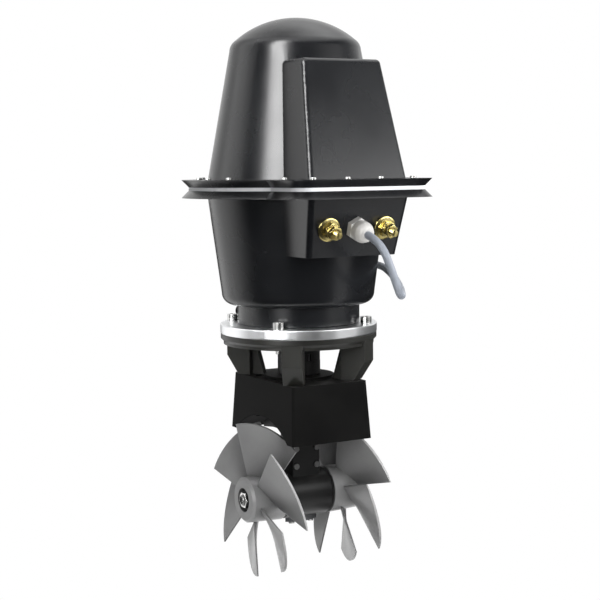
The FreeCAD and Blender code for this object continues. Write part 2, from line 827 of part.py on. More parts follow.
def saddle():
    """The block that sits on the tunnel tube: a drafted block with the tube's arc below and a boss
    round the leg's spigot above."""
    body = new_body("Saddle")
    narrow = "(1 - saddle_draft)"
    lofted(body, "SaddleBlock", "AdditiveLoft", [
        saddle_outline(body, "SaddleFoot", "saddle_half_width", "saddle_half_depth", "saddle_skirt"),
        saddle_outline(body, "SaddleDeck", f"saddle_half_width * {narrow}",
                       f"saddle_half_depth * {narrow}", SADDLE_TOP)])
    boss = circles(body, "BossOutline", "XY", "boss_radius", [("0", "0")], f"{SADDLE_TOP} - 1")
    feature(body, "Pad", "Boss", boss, Length="boss_height + 1")
    tunnel = circles(body, "TunnelOutline", "YZ", SADDLE_RADIUS, [("0", "0")])
    feature(body, "Pocket", "TunnelSeat", tunnel, Midplane=True, Length="saddle_half_width * 3")
    bore = circles(body, "SpigotBore", "XY", "spigot_radius + clearance", [("0", "0")])
    feature(body, "Pocket", "SpigotBore", bore, Reversed=True, Length=f"{SADDLE_TOP} + window_height / 2")
    spots = [(f"{x} * saddle_hole_x", f"{y} * saddle_hole_y") for x in (-1, 1) for y in (-1, 1)]
    holes = circles(body, "SaddleHoles", "XY", "saddle_hole_radius", spots)
    feature(body, "Pocket", "SaddleHoles", holes, Reversed=True, Length=f"{SADDLE_TOP} + 2 * boss_height")
    keep("saddle", body)


def mounting_bracket():
    """The motor's bracket: a ring on four kneed pillars with gussets, standing on the saddle's deck."""
    body = new_body("MountingBracket")
    shoulder = f"({BRACKET_RING} + 2 * bracket_ring_step)"
    turned(body, "BracketRing", [
        ("bracket_ring_bore", BRACKET_RING),
        ("bracket_radius - bracket_ring_step", BRACKET_RING),
        ("bracket_radius - bracket_ring_step", f"{BRACKET_RING} + bracket_ring_step"),
        ("bracket_radius", shoulder),
        ("bracket_radius", BRACKET_TOP),
        ("bracket_ring_bore", BRACKET_TOP),
    ])
    face = "(bracket_radius - pillar_inset)"
    inside = f"({face} - pillar_depth)"
    overlap = "bracket_ring_step / 2"
    for number, turn in enumerate(("pillar_angle", "180 - pillar_angle", "180 + pillar_angle",
                                   "-pillar_angle")):
        pillar = outline(body, f"PillarSide{number}", "XZ", [
            (inside, SADDLE_TOP),
            ("pillar_foot", SADDLE_TOP),
            (face, f"{SADDLE_TOP} + pillar_knee"),
            (face, shoulder),
            (inside, shoulder),
        ], turn=turn)
        feature(body, "Pad", f"Pillar{number}", pillar, Midplane=True, Length="pillar_width")
        gusset = outline(body, f"GussetSide{number}", "XZ", [
            ("gusset_foot", SADDLE_TOP),
            (f"{inside} + {overlap}", SADDLE_TOP),
            (f"{inside} + {overlap}", f"{BRACKET_RING} + {overlap}"),
            ("bracket_ring_bore + 1", f"{BRACKET_RING} + {overlap}"),
            ("gusset_top", f"{BRACKET_RING} - 1"),
        ], turn=turn)
        feature(body, "Pad", f"Gusset{number}", gusset, Midplane=True, Length="gusset_width")
    threads = circles(body, "RingThreads", "XY", "ring_screw_radius", DIAGONALS, BRACKET_TOP)
    feature(body, "Pocket", "RingThreads", threads, Length="bracket_ring_height + 6")
    keep("mounting_bracket", body)


def mounting_ring():
    body = new_body("MountingRing")
    turned(body, "RingPlate", [
        ("bracket_ring_bore", BRACKET_TOP),
        ("ring_radius - 0.8", BRACKET_TOP),
        ("ring_radius", f"{BRACKET_TOP} + 0.8"),
        ("ring_radius", f"{RING_TOP} - 0.8"),
        ("ring_radius - 0.8", RING_TOP),
        ("bracket_ring_bore", RING_TOP),
    ])
    holes = circles(body, "RingHoles", "XY", "ring_screw_radius + clearance", DIAGONALS, RING_TOP)
    feature(body, "Pocket", "RingHoles", holes, Length="ring_height + 2")
    keep("mounting_ring", body)
    head = cylinder("RingHead", "ring_head_radius", "ring_head_height")
    screw = cut("RingScrew", fuse("RingScrewBlank", [
        head, cylinder("RingShank", "ring_screw_radius - fit", "ring_height + bracket_ring_height + 4",
                       ("0", "0", "-ring_height - bracket_ring_height - 4"))]),
        [hexagon("RingSocket", "6", "4", ("0", "0", "ring_head_height - 4"))])
    keep("ring_screws", copies("RingScrews", screw, [(x, y, RING_TOP) for x, y in DIAGONALS]))


def motor_neck():
    body = new_body("MotorNeck")
    register = "bracket_ring_bore - clearance"
    turned(body, "Neck", [
        (f"{register} - neck_wall", f"{RING_TOP} - register_height"),
        (register, f"{RING_TOP} - register_height"),
        (register, RING_TOP),
        ("neck_radius - 1", RING_TOP),
        ("neck_radius", f"{RING_TOP} + 1"),
        ("neck_radius", BUCKET_FOOT),
        ("spigot_radius", BUCKET_FOOT),
        ("spigot_radius", f"{BUCKET_FOOT} - neck_wall"),
        (f"{register} - neck_wall", f"{BUCKET_FOOT} - neck_wall"),
    ])
    keep("motor_neck", body)


saddle()
mounting_bracket()
mounting_ring()
motor_neck()


# ---- housings -------------------------------------------------------------------------------------

def box_outline(body, name, half, front, height, inset="0"):
    """The level section of the front box, from inside the round wall to its front face."""
    corner = "box_corner"
    half, front = f"({half} - {inset})", f"({front} - {inset})"
    return outline(body, name, "XY", [
        (f"-{half}", "-box_front / 4"),
        (f"-{half}", f"{corner} - {front}", corner),
        (f"{corner} - {half}", f"-{front}"),
        (f"{half} - {corner}", f"-{front}", corner),
        (half, f"{corner} - {front}"),
        (half, "-box_front / 4"),
    ], height)


def flange_points(grow="0"):
    """The flange's outline at the parting line: a round rim that runs out into the box's front."""
    rim, half = f"(flange_lip + {grow})", f"(box_half_width + flange_side_lip + {grow})"
    front, corner = f"(box_front + flange_front_lip + {grow})", f"(flange_corner + {grow})"
    start = f"-sqrt({rim} ^ 2 - {half} ^ 2)"
    return [
        (f"-{half}", start),
        (f"-{half}", f"{corner} - {front}", corner),
        (f"{corner} - {half}", f"-{front}"),
        (f"{half} - {corner}", f"-{front}", corner),
        (half, f"{corner} - {front}"),
        (half, start, rim),
        ("0", rim, rim),
    ]


def screw_spots():
    """Flange screws round the wall and along the box's front and sides."""
    spots = [(f"screw_circle * cos({angle})", f"screw_circle * sin({angle})")
             for angle in range(-20, 201, 20)]
    spots += [(f"{side} * box_half_width * {share}", "-(box_front + screw_front_gap)")
              for side in (-1, 1) for share in (0.33, 1)]
    spots += [(f"{side} * (box_half_width + screw_side_gap)", "-screw_circle + box_corner") for side in (-1, 1)]
    return spots


def lower_housing():
    body = new_body("LowerHousing")
    foot, side = BUCKET_FOOT, "bucket_foot_radius"
    turned(body, "Bucket", [
        ("0", foot),
        (f"{side} - bucket_corner", foot, "bucket_corner"),
        (side, f"{foot} + bucket_corner"),
        ("bucket_top_radius", FLANGE_FOOT),
        ("bucket_top_radius", PARTING),
        ("0", PARTING),
    ])
    lofted(body, "Box", "AdditiveLoft", [
        box_outline(body, "BoxFoot", "lower_box_foot_half_width", "lower_box_foot", LOWER_BOX_FOOT),
        box_outline(body, "BoxTop", "box_half_width", "box_front", FLANGE_FOOT)])
    lip = outline(body, "LowerLip", "XY", flange_points(), PARTING)
    feature(body, "Pad", "LowerFlange", lip, Reversed=True, Length="flange_height",
            TaperAngle="atan(flange_flare / flange_height)")
    inner_foot = f"{side} - bucket_corner"
    turned(body, "BucketInside", [
        ("0", BUCKET_FLOOR),
        (inner_foot, BUCKET_FLOOR, "bucket_corner - wall"),
        (f"{side} - wall", f"{foot} + bucket_corner"),
        ("bucket_top_radius - wall", FLANGE_FOOT),
        ("bucket_top_radius - wall", PARTING),
        ("0", PARTING),
    ], "Groove")
    lofted(body, "BoxInside", "SubtractiveLoft", [
        box_outline(body, "BoxInsideFoot", "lower_box_foot_half_width", "lower_box_foot",
                    f"{LOWER_BOX_FOOT} + wall", "wall"),
        box_outline(body, "BoxInsideTop", "box_half_width", "box_front", PARTING, "wall")])
    doorway = circles(body, "MotorDoorway", "XY", "spigot_radius", [("0", "0")], BUCKET_FLOOR)
    feature(body, "Pocket", "MotorDoorway", doorway, Length="wall * 2")
    holes = circles(body, "LowerScrewHoles", "XY", "screw_radius + clearance", screw_spots(), PARTING)
    feature(body, "Pocket", "LowerScrewHoles", holes, Length="flange_height")
    tools = []
    for name, radius, places in (("Stud", "stud_radius", ("-terminal_offset", "terminal_offset")),
                                 ("Gland", "gland_stem_radius", ("0",))):
        drill = cylinder(name + "Drill", f"{radius} + clearance", "wall * 6", ("0", "0", "-wall * 3"))
        spots = [(x, TERMINAL_FACE, TERMINAL_HEIGHT) for x in places]
        tools.append(copies(name + "Passage", drill, spots, **ALONG_FACE))
    keep("lower_housing", cut("LowerHousingDrilled", body, tools))


def cover_gasket():
    body = new_body("CoverGasket")
    rim = outline(body, "GasketOutline", "XY", flange_points(), PARTING)
    feature(body, "Pad", "GasketSheet", rim, Length="gasket_height")
    doc.recompute()
    inside = circles(body, "GasketRound", "XY", "bucket_top_radius - wall", [("0", "0")], PARTING)
    feature(body, "Pocket", "GasketRound", inside, Reversed=True, Length="gasket_height")
    front = box_outline(body, "GasketFront", "box_half_width", "box_front", PARTING, "wall")
    feature(body, "Pocket", "GasketFront", front, Reversed=True, Length="gasket_height")
    holes = circles(body, "GasketHoles", "XY", "screw_radius + clearance", screw_spots(), PARTING)
    feature(body, "Pocket", "GasketHoles", holes, Reversed=True, Length="gasket_height")
    keep("cover_gasket", body)


def top_cover():
    body = new_body("TopCover")
    wall_top = f"({COVER_FOOT} + cover_wall_height)"
    crease = f"({wall_top} + cover_crease_rise)"
    apex = f"({crease} + cover_cap_rise)"

    def cap(radius):
        """The radius of the spherical cap that rises from a circle."""
        return f"(({radius}) ^ 2 / 2 / cover_cap_rise + cover_cap_rise / 2)"

    turned(body, "Dome", [
        ("0", COVER_FOOT),
        ("cover_base_radius", COVER_FOOT),
        ("cover_shoulder_radius", wall_top, "shoulder_arc"),
        ("cover_crease_radius", crease, cap("cover_crease_radius")),
        ("0", apex),
    ])
    box_top = f"({COVER_FOOT} + cover_box_height)"
    bulge = lofted(body, "Bulge", "AdditiveLoft", [
        box_outline(body, "BulgeFoot", "box_half_width", "box_front", COVER_FOOT),
        box_outline(body, "BulgeTop", "cover_box_top_half_width", "cover_box_top_front", box_top)])
    level = value(box_top)
    # The brow is the box's top edge, without the curve where its top meets the dome.
    brow = -value("cover_box_top_front - box_corner")
    round_edges(body, "BulgeBrow", bulge, "box_corner", lambda spot: abs(spot.z - level) < 0.5
                and (spot.y < brow or abs(spot.x) > value("box_corner")))
    lip = outline(body, "UpperLip", "XY", flange_points(), COVER_FOOT)
    feature(body, "Pad", "UpperFlange", lip, Length="flange_height",
            TaperAngle="atan(flange_flare / flange_height)")
    turned(body, "DomeInside", [
        ("0", COVER_FOOT),
        ("cover_base_radius - wall - 1", COVER_FOOT),
        ("cover_shoulder_radius - wall", f"{wall_top} - wall / 2", "shoulder_arc"),
        ("cover_crease_radius - wall", f"{crease} - wall", cap("cover_crease_radius - wall")),
        ("0", f"{apex} - wall"),
    ], "Groove")
    lofted(body, "BulgeInside", "SubtractiveLoft", [
        box_outline(body, "BulgeInsideFoot", "box_half_width", "box_front", COVER_FOOT, "wall"),
        box_outline(body, "BulgeInsideTop", "cover_box_top_half_width", "cover_box_top_front",
                    f"{box_top} - wall", "wall")])
    holes = circles(body, "CoverScrewHoles", "XY", "screw_radius + clearance", screw_spots(),
                    COVER_FLANGE_TOP)
    feature(body, "Pocket", "CoverScrewHoles", holes, Length="flange_height + 1")
    keep("top_cover", body)


def flange_screws():
    length = "2 * flange_height + gasket_height"
    screw = fuse("FlangeScrew", [
        cylinder("FlangeScrewHead", "screw_head_radius", "screw_head_height"),
        cylinder("FlangeScrewShank", "screw_radius", length, ("0", "0", f"-({length})"))])
    keep("flange_screws", copies("FlangeScrews", screw,
                                 [(x, y, COVER_FLANGE_TOP) for x, y in screw_spots()]))


lower_housing()
cover_gasket()
top_cover()
flange_screws()


# ---- terminals, gland and cable ---------------------------------------------------------------------

def terminals():
    """On each stud a flanged nut against the face and a lock nut, as left for the battery cable.
    Threads in engagement are plain cylinders at their pitch diameter."""
    inside = "4 * wall"
    washer = "(terminal_flange_height + terminal_nut_height)"
    lock = f"({washer} + lock_washer_height)"
    free = f"({lock} + lock_nut_height)"
    flanges, locks = [], []
    for node, side in (("positive_terminal", -1), ("negative_terminal", 1)):
        name = node.title().replace("_", "")
        spot = (f"{side} * terminal_offset", TERMINAL_FACE, TERMINAL_HEIGHT)
        stud = cut(name + "Stud", fuse(name + "Blank", [
            cylinder(name + "Engaged", "thread_pitch_radius", f"{free} + {inside}",
                     ("0", "0", f"-{inside}")),
            cylinder(name + "Free", "stud_radius", f"stud_length - {free}", ("0", "0", free)),
            hexagon(name + "Head", "stud_head_across", "stud_head_height", ("0", "0", f"-{inside}"))]), [
            cylinder(name + "Mark", "centre_mark_radius", "centre_mark_depth",
                     ("0", "0", "stud_length - centre_mark_depth"))])
        keep(node, copies(name + "Placed", stud, [spot], **ALONG_FACE))
        flanged = cut(name + "FlangedNut", fuse(name + "FlangedNutBlank", [
            cylinder(name + "Flange", "terminal_flange_radius", "terminal_flange_height"),
            hexagon(name + "FlangeHex", "terminal_nut_across", "terminal_nut_height",
                    ("0", "0", "terminal_flange_height"))]), [
            cylinder(name + "FlangedBore", "thread_pitch_radius + fit", washer)])
        flanges.append(copies(name + "FlangedNuts", flanged, [spot], **ALONG_FACE))
        locked = cut(name + "LockNut", fuse(name + "LockNutBlank", [
            cylinder(name + "LockWasher", "terminal_nut_across / 2", "lock_washer_height",
                     ("0", "0", washer)),
            hexagon(name + "LockHex", "lock_nut_across", "lock_nut_height", ("0", "0", lock))]), [
            cylinder(name + "LockBore", "thread_pitch_radius + fit",
                     "lock_washer_height + lock_nut_height", ("0", "0", washer))])
        locks.append(copies(name + "LockNuts", locked, [spot], **ALONG_FACE))
    keep("terminal_flange_nuts", group("TerminalFlangeNuts", flanges))
    keep("terminal_lock_nuts", group("TerminalLockNuts", locks))


def cable_gland():
    spot = ("0", TERMINAL_FACE, TERMINAL_HEIGHT)
    blank = fuse("GlandBlank", [
        hexagon("GlandHex", "gland_across", "gland_hex_height"),
        cylinder("GlandStem", "gland_stem_radius", "gland_hex_height + gland_stem_length + 3 * wall",
                 ("0", "0", "-3 * wall"))])
    keep("cable_gland", copies("CableGland", blank, [spot], **ALONG_FACE))
    body = new_body("GlandNut")
    foot = "gland_hex_height"
    turned(body, "GlandCap", [
        ("gland_stem_radius + fit", foot),
        ("gland_dome_radius", foot),
        ("gland_dome_radius", f"{foot} + gland_dome_height / 2"),
        ("gland_dome_radius * 0.8", f"{foot} + gland_dome_height * 0.85"),
        ("gland_dome_radius * 0.55", f"{foot} + gland_dome_height"),
        ("0", f"{foot} + gland_dome_height"),
        ("0", f"{foot} + gland_stem_length + fit"),
        ("gland_stem_radius + fit", f"{foot} + gland_stem_length + fit"),
    ])
    keep("gland_nut", copies("GlandNutPlaced", body, [spot], **ALONG_FACE))


def control_cable():
    """The cable leaves the gland, hangs in a bow beside the housing, passes behind it and comes down to
    its plug, which lies on the mounting ring behind the neck."""
    lean = math.radians(value(FACE_LEAN))
    out = V(0, -math.cos(lean), -math.sin(lean))
    exit_point = (V(0, value(TERMINAL_FACE), value(TERMINAL_HEIGHT))
                  + out * value("gland_hex_height + gland_dome_height"))
    route = [exit_point, exit_point + out * 17] + [V(*spot) for spot in (
        (2, -189, 301), (8, -194, 282), (19, -187, 263), (38, -164, 250), (62, -132, 245),
        (85, -94, 250), (101, -52, 263), (110, -8, 273), (109, 36, 268), (94, 74, 252),
        (68, 98, 236), (39, 103, 222), (12, 93, 216.6), (-11, 85, 216.6))]
    edges, at = [], route[0]
    for before, corner, after in zip(route, route[1:], route[2:]):
        arriving, leaving = corner - before, after - corner
        half_turn = arriving.getAngle(leaving) / 2
        reach = 0.45 * min(arriving.Length, leaving.Length)
        start = corner - arriving.normalize() * reach
        finish = corner + leaving.normalize() * reach
        inward = (start + finish - corner * 2).normalize()
        radius = reach / math.tan(half_turn)
        middle = corner + inward * (radius / math.cos(half_turn) - radius)
        print(f"cable radius {radius:6.1f}")
        edges += [Part.LineSegment(at, start).toShape(), Part.Arc(start, middle, finish).toShape()]
        at = finish
    edges.append(Part.LineSegment(at, route[-1]).toShape())
    path = Part.Wire(edges)
    section = Part.Wire(Part.makeCircle(value("cable_radius"), route[0], out))
    item = doc.addObject("Part::Feature", "ControlCable")
    item.Shape = path.makePipeShell([section], True, False)
    area = math.pi * value("cable_radius") ** 2
    print(f"cable {path.Length:.1f} mm, volume over section times length "
          f"{item.Shape.Volume / area / path.Length:.4f}")
    keep("control_cable", item)
    along = route[-1] - route[-2]
    turn = math.degrees(math.atan2(along.y, along.x))
    body = new_body("CablePlug")
    turned(body, "PlugShell", [
        ("0", "0"),
        ("0", "cable_radius + plug_boot"),
        ("plug_length / 4", "plug_radius * 0.8"),
        ("plug_length / 4", "plug_radius"),
        ("plug_length * 0.6", "plug_radius"),
        ("plug_length * 0.6", "plug_radius - plug_step"),
        ("plug_length", "plug_radius - plug_step"),
        ("plug_length", "plug_radius - plug_rim"),
        ("plug_length * 0.7", "plug_radius - plug_rim"),
        ("plug_length * 0.7", "0"),
    ], axis="H_Axis")
    body.Placement = FreeCAD.Placement(route[-1], FreeCAD.Rotation(V(0, 0, 1), turn))
    keep("cable_plug", body)


terminals()
cable_gland()
control_cable()


# ---- motor ------------------------------------------------------------------------------------------

def motor():
    inner = "(motor_radius - yoke_wall)"
    keep("motor_yoke", ring("MotorYoke", "motor_radius", inner, "yoke_height", ("0", "0", MOTOR_FOOT)))
    middle = f"({MOTOR_FOOT} + yoke_height / 2 - magnet_drop)"
    magnet = new_body("Magnet")
    reach = f"({inner} - fit)"
    near = f"({inner} - magnet_thickness)"
    sketch = outline(magnet, "MagnetOutline", "XY", [
        (f"{reach} * cos(magnet_half_angle)", f"-{reach} * sin(magnet_half_angle)", reach),
        (f"{reach} * cos(magnet_half_angle)", f"{reach} * sin(magnet_half_angle)"),
        (f"{near} * cos(magnet_half_angle)", f"{near} * sin(magnet_half_angle)", f"-{near}"),
        (f"{near} * cos(magnet_half_angle)", f"-{near} * sin(magnet_half_angle)"),
    ])
    feature(magnet, "Pad", "MagnetArc", sketch, Length="magnet_height")
    links = []
    for number in range(4):
        link = link_to(f"Magnet{number}", magnet)
        place(link, ("0", "0", f"{middle} - magnet_height / 2"), axis=(0, 0, 1), turn=f"{90 * number} + 45")
        links.append(link)
    keep("field_magnets", group("FieldMagnets", links))
    for label, foot, radius, width in (
            ("drive_end_plate", BUCKET_FLOOR, "drive_bearing_radius", "drive_bearing_width"),
            ("brush_end_plate", MOTOR_TOP, "drive_bearing_radius", "drive_bearing_width")):
        name = label.title().replace("_", "")
        plate = cut(name, cylinder(name + "Disc", "motor_radius", "end_plate_height", ("0", "0", foot)), [
            cylinder(name + "Seat", f"{radius} + fit", width, ("0", "0", foot)),
            cylinder(name + "Eye", f"{radius} - 3", "end_plate_height", ("0", "0", foot))])
        keep(label, plate)
        keep(label.replace("plate", "bearing"),
             bearing(name + "Bearing", radius, "drive_radius + fit", width, ("0", "0", foot)))
    rotor = f"({inner} - magnet_thickness - air_gap)"
    core_foot = f"({middle} - core_height / 2)"
    slots = new_body("ArmatureCore")
    bore = "(drive_radius + fit)"
    turned(slots, "CoreStack", [
        (bore, core_foot),
        (rotor, core_foot),
        (rotor, f"{core_foot} + core_height"),
        (bore, f"{core_foot} + core_height"),
    ])
    slot = outline(slots, "SlotOutline", "XY", [
        (f"{rotor} - slot_depth", "-slot_half_width"),
        (f"{rotor} + fit", "-slot_half_width / 2"),
        (f"{rotor} + fit", "slot_half_width / 2"),
        (f"{rotor} - slot_depth", "slot_half_width"),
    ], core_foot)
    first = feature(slots, "Pocket", "Slot", slot, Reversed=True, Length="core_height")
    pattern = slots.newObject("PartDesign::PolarPattern", "Slots")
    pattern.Originals = [first]
    pattern.Axis = (slot, ["N_Axis"])
    pattern.Angle = 360
    pattern.setExpression("Occurrences", bound("slot_count"))
    slots.Tip = pattern
    keep("armature_core", slots)
    ends = []
    for number, foot in enumerate((f"{core_foot} - winding_height", f"{core_foot} + core_height")):
        ends.append(ring(f"Winding{number}", f"{rotor} - winding_inset", f"{rotor} - winding_depth",
                         "winding_height", ("0", "0", foot)))
    keep("armature_windings", group("ArmatureWindings", ends))
    commutator = f"({core_foot} + core_height + commutator_gap)"
    keep("commutator", ring("Commutator", "commutator_radius", bore, "commutator_height",
                            ("0", "0", commutator)))
    brush = doc.addObject("Part::Box", "Brush")
    for key, text in (("Length", "brush_length"), ("Width", "brush_width"),
                      ("Height", "commutator_height - 2 * brush_margin")):
        brush.setExpression(key, bound(text))
    place(brush, ("commutator_radius + clearance", "-brush_width / 2", f"{commutator} + brush_margin"))
    plate = ("0", "0", f"{commutator} + commutator_height - brush_margin")
    holder = cut("BrushHolder", cylinder("HolderRing", f"{inner} - fit", "holder_height", plate), [
        cylinder("HolderEye", "commutator_radius + holder_gap", "holder_height", plate)])
    brushes = []
    for number in range(4):
        link = link_to(f"Brush{number}", brush)
        place(link, axis=(0, 0, 1), turn=f"{90 * number}")
        brushes.append(link)
    keep("carbon_brushes", group("CarbonBrushes", brushes))
    keep("brush_holder", holder)
    keep("motor_shaft", cylinder("MotorShaft", "drive_radius",
                                 f"{MOTOR_TOP} + end_plate_height - {BRACKET_RING}",
                                 ("0", "0", f"{BRACKET_RING} - shaft_foot_drop")))


motor()


# ---- shaft coupling and pinion ----------------------------------------------------------------------

def coupling():
    """A jaw coupling: two hubs with three jaws each and the rubber spider between them."""
    foot = f"({SADDLE_TOP} + coupling_foot)"
    split = f"({foot} + coupling_height / 2)"
    bore = "drive_radius + fit"
    count = 3

    def half(label, start, jaw_foot, phase, bore):
        body = new_body(label.title().replace("_", ""))
        hub = circles(body, label + "HubOutline", "XY", "coupling_radius", [("0", "0")], start)
        feature(body, "Pad", label + "Hub", hub, Length="(coupling_height - coupling_jaw) / 2")
        doc.recompute()
        for number in range(count):
            angle = phase + number * 360 / count
            low, high = f"{angle} - jaw_half_angle", f"{angle} + jaw_half_angle"
            far, near = "coupling_radius", "(coupling_radius * 0.5)"
            jaw = outline(body, f"{label}Jaw{number}", "XY", [
                (f"{near} * cos({low})", f"{near} * sin({low})"),
                (f"{far} * cos({low})", f"{far} * sin({low})", far),
                (f"{far} * cos({high})", f"{far} * sin({high})"),
                (f"{near} * cos({high})", f"{near} * sin({high})", f"-{near}"),
            ], jaw_foot)
            feature(body, "Pad", f"{label}JawPad{number}", jaw, Length="coupling_jaw")
        hole = circles(body, label + "Bore", "XY", bore, [("0", "0")], foot)
        feature(body, "Pocket", label + "Bore", hole, Reversed=True, Length="coupling_height")
        keep(label, body)

    low_split = f"({split} - coupling_jaw / 2)"
    half("lower_coupling", foot, low_split, 0, "pinion_shaft_radius + fit")
    half("upper_coupling", f"{split} + coupling_jaw / 2", low_split, 60, bore)
    arms = [ring("SpiderHub", "coupling_radius * 0.45", bore, "coupling_jaw - 2 * clearance",
                 ("0", "0", f"{low_split} + clearance"))]
    for number in range(2 * count):
        arm = doc.addObject("Part::Box", f"SpiderArm{number}")
        arm.setExpression("Length", bound("coupling_radius - drive_radius - spider_arm_start - 1"))
        arm.setExpression("Width", bound("spider_arm_width"))
        arm.setExpression("Height", bound("coupling_jaw - 2 * clearance"))
        place(arm, ("drive_radius + spider_arm_start", "-spider_arm_width / 2",
                    f"{low_split} + clearance"))
        link = link_to(f"SpiderLink{number}", arm)
        place(link, axis=(0, 0, 1), turn=f"{30 + 60 * number}")
        arms.append(link)
    keep("coupling_spider", fuse("CouplingSpider", arms))


def pinion_shaft():
    teeth = round(value("pinion_teeth"))
    shape, foot = bevel_teeth(teeth, round(value("crown_teeth")), 0)
    collar = Part.makeCylinder(foot.x - 0.6, value("case_radius + 8") - foot.z, V(0, 0, foot.z))
    top = value(f"{SADDLE_TOP} + coupling_foot + coupling_height / 2 - coupling_jaw / 2")
    bar = Part.makeCylinder(value("pinion_shaft_radius"), top - foot.z, V(0, 0, foot.z))
    item = doc.addObject("Part::Feature", "PinionShaft")
    item.Shape = shape.fuse([collar, bar]).removeSplitter()
    keep("pinion_shaft", item)


coupling()
pinion_shaft()

# ---- checks and export --------------------------------------------------------------------------------

doc.recompute()
for item in doc.Objects:
    if "Invalid" in item.State or "Error" in item.State:
        raise RuntimeError(f"{item.Name} {item.State}")
for item in PIECES:
    if item.Shape.isNull() or not item.Shape.isValid() or not item.Shape.Solids:
        raise RuntimeError(f"{item.Label} has no valid shape")
    item.Shape.exportStep(f"parts/{item.Label}.step")
    print(f"{item.Label:24s} {len(item.Shape.Solids):3d} solids {item.Shape.Volume:12.1f} mm3")
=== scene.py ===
import bpy
import math
from mathutils import Matrix, Vector


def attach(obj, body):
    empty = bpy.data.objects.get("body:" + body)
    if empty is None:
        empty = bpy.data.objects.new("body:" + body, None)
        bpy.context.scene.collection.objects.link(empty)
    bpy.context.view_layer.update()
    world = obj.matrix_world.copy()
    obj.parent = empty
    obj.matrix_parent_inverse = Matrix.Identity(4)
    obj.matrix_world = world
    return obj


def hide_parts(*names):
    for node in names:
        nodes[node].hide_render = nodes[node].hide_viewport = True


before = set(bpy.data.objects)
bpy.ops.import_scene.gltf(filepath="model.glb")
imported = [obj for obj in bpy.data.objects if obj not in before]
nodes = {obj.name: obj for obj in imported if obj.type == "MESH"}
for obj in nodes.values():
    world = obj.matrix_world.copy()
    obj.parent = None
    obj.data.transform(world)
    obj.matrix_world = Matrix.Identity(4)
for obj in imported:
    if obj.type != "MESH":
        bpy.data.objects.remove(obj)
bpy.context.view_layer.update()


# small helpers, used all through

mergeWithin = 0.000004
sliver = 0.0001   # how far a vertex or face may be from where it is looked for


def workOn(piece):
    if bpy.context.object and bpy.context.object.mode != "OBJECT":
        bpy.ops.object.mode_set(mode="OBJECT")
    bpy.ops.object.select_all(action="DESELECT")
    piece.select_set(True)
    bpy.context.view_layer.objects.active = piece


def applyModifiers(piece):
    workOn(piece)
    for modifier in list(piece.modifiers):
        bpy.ops.object.modifier_apply(modifier=modifier.name)


def applyPlace(piece):
    workOn(piece)
    bpy.ops.object.transform_apply(location=True, rotation=True, scale=True)


def joinPieces(pieces, name):
    workOn(pieces[0])
    for piece in pieces:
        piece.select_set(True)
    bpy.ops.object.join()
    joined = bpy.context.object
    joined.name = name
    return joined


def selectFaces(piece, wanted):
    # leaves the piece in edit mode with only the wanted faces selected
    workOn(piece)
    bpy.ops.object.mode_set(mode="EDIT")
    bpy.ops.mesh.select_mode(type="FACE")
    bpy.ops.mesh.select_all(action="DESELECT")
    bpy.ops.object.mode_set(mode="OBJECT")
    for face in piece.data.polygons:
        face.select = wanted(face)
    bpy.ops.object.mode_set(mode="EDIT")


def bevelFaces(piece, wanted, offset):
    selectFaces(piece, wanted)
    bpy.ops.mesh.bevel(offset=offset, segments=2, affect="EDGES")
    bpy.ops.object.mode_set(mode="OBJECT")


def roundRim(piece, width):
    rim = piece.modifiers.new("rim", "BEVEL")
    rim.width = width
    rim.segments = 2
    rim.limit_method = "ANGLE"
    applyModifiers(piece)


def addBlank(name, vertices, radius, height, base):
    # a round blank that stands on the given base
    bpy.ops.mesh.primitive_cylinder_add(vertices=vertices, radius=radius, depth=height,
                                        location=(0, 0, base + height / 2))
    blank = bpy.context.object
    blank.name = name
    bpy.ops.object.transform_apply(location=True)
    return blank


def finishMesh(piece, smoothAngle):
    workOn(piece)
    bpy.ops.object.mode_set(mode="EDIT")
    bpy.ops.mesh.select_all(action="SELECT")
    bpy.ops.mesh.remove_doubles(threshold=mergeWithin)
    bpy.ops.mesh.normals_make_consistent(inside=False)
    bpy.ops.object.mode_set(mode="OBJECT")
    applyPlace(piece)
    bpy.ops.object.shade_smooth_by_angle(angle=math.radians(smoothAngle))


# camera: angles in degrees

viewpoint = {
    "distance": 1.6667,   # from the upright axis
    "height": 0.3941,     # above the propeller shaft
    "azimuth": -29.0,     # from the terminal box's side
    "pitch": 5.493,
    "roll": 0.7,
    "lens": 84.0,
    "sensor": 36,
    "shift": 0.003,
    "clip": (0.05, 60),
}


def placeCamera():
    azimuth = math.radians(viewpoint["azimuth"])
    pitch = math.radians(viewpoint["pitch"])
    roll = math.radians(viewpoint["roll"])
    forward = Vector((-math.sin(azimuth) * math.cos(pitch), math.cos(azimuth) * math.cos(pitch),
                      -math.sin(pitch)))
    level = Vector((math.cos(azimuth), math.sin(azimuth), 0))
    upward = level.cross(forward)
    right = level * math.cos(roll) - upward * math.sin(roll)
    top = level * math.sin(roll) + upward * math.cos(roll)
    lens = bpy.data.cameras.new("studioCamera")
    lens.lens = viewpoint["lens"]
    lens.sensor_width = viewpoint["sensor"]
    lens.shift_x = viewpoint["shift"]
    lens.clip_start, lens.clip_end = viewpoint["clip"]
    camera = bpy.data.objects.new("studioCamera", lens)
    bpy.context.scene.collection.objects.link(camera)
    place = Vector((math.sin(azimuth), -math.cos(azimuth), 0)) * viewpoint["distance"]
    place.z = viewpoint["height"]
    camera.matrix_world = Matrix.Translation(place) @ Matrix((right, top, -forward)).transposed().to_4x4()
    bpy.context.scene.camera = camera


placeCamera()
print("camera placed")


# control cable: from the gland down and round to its plug, which lies behind the neck

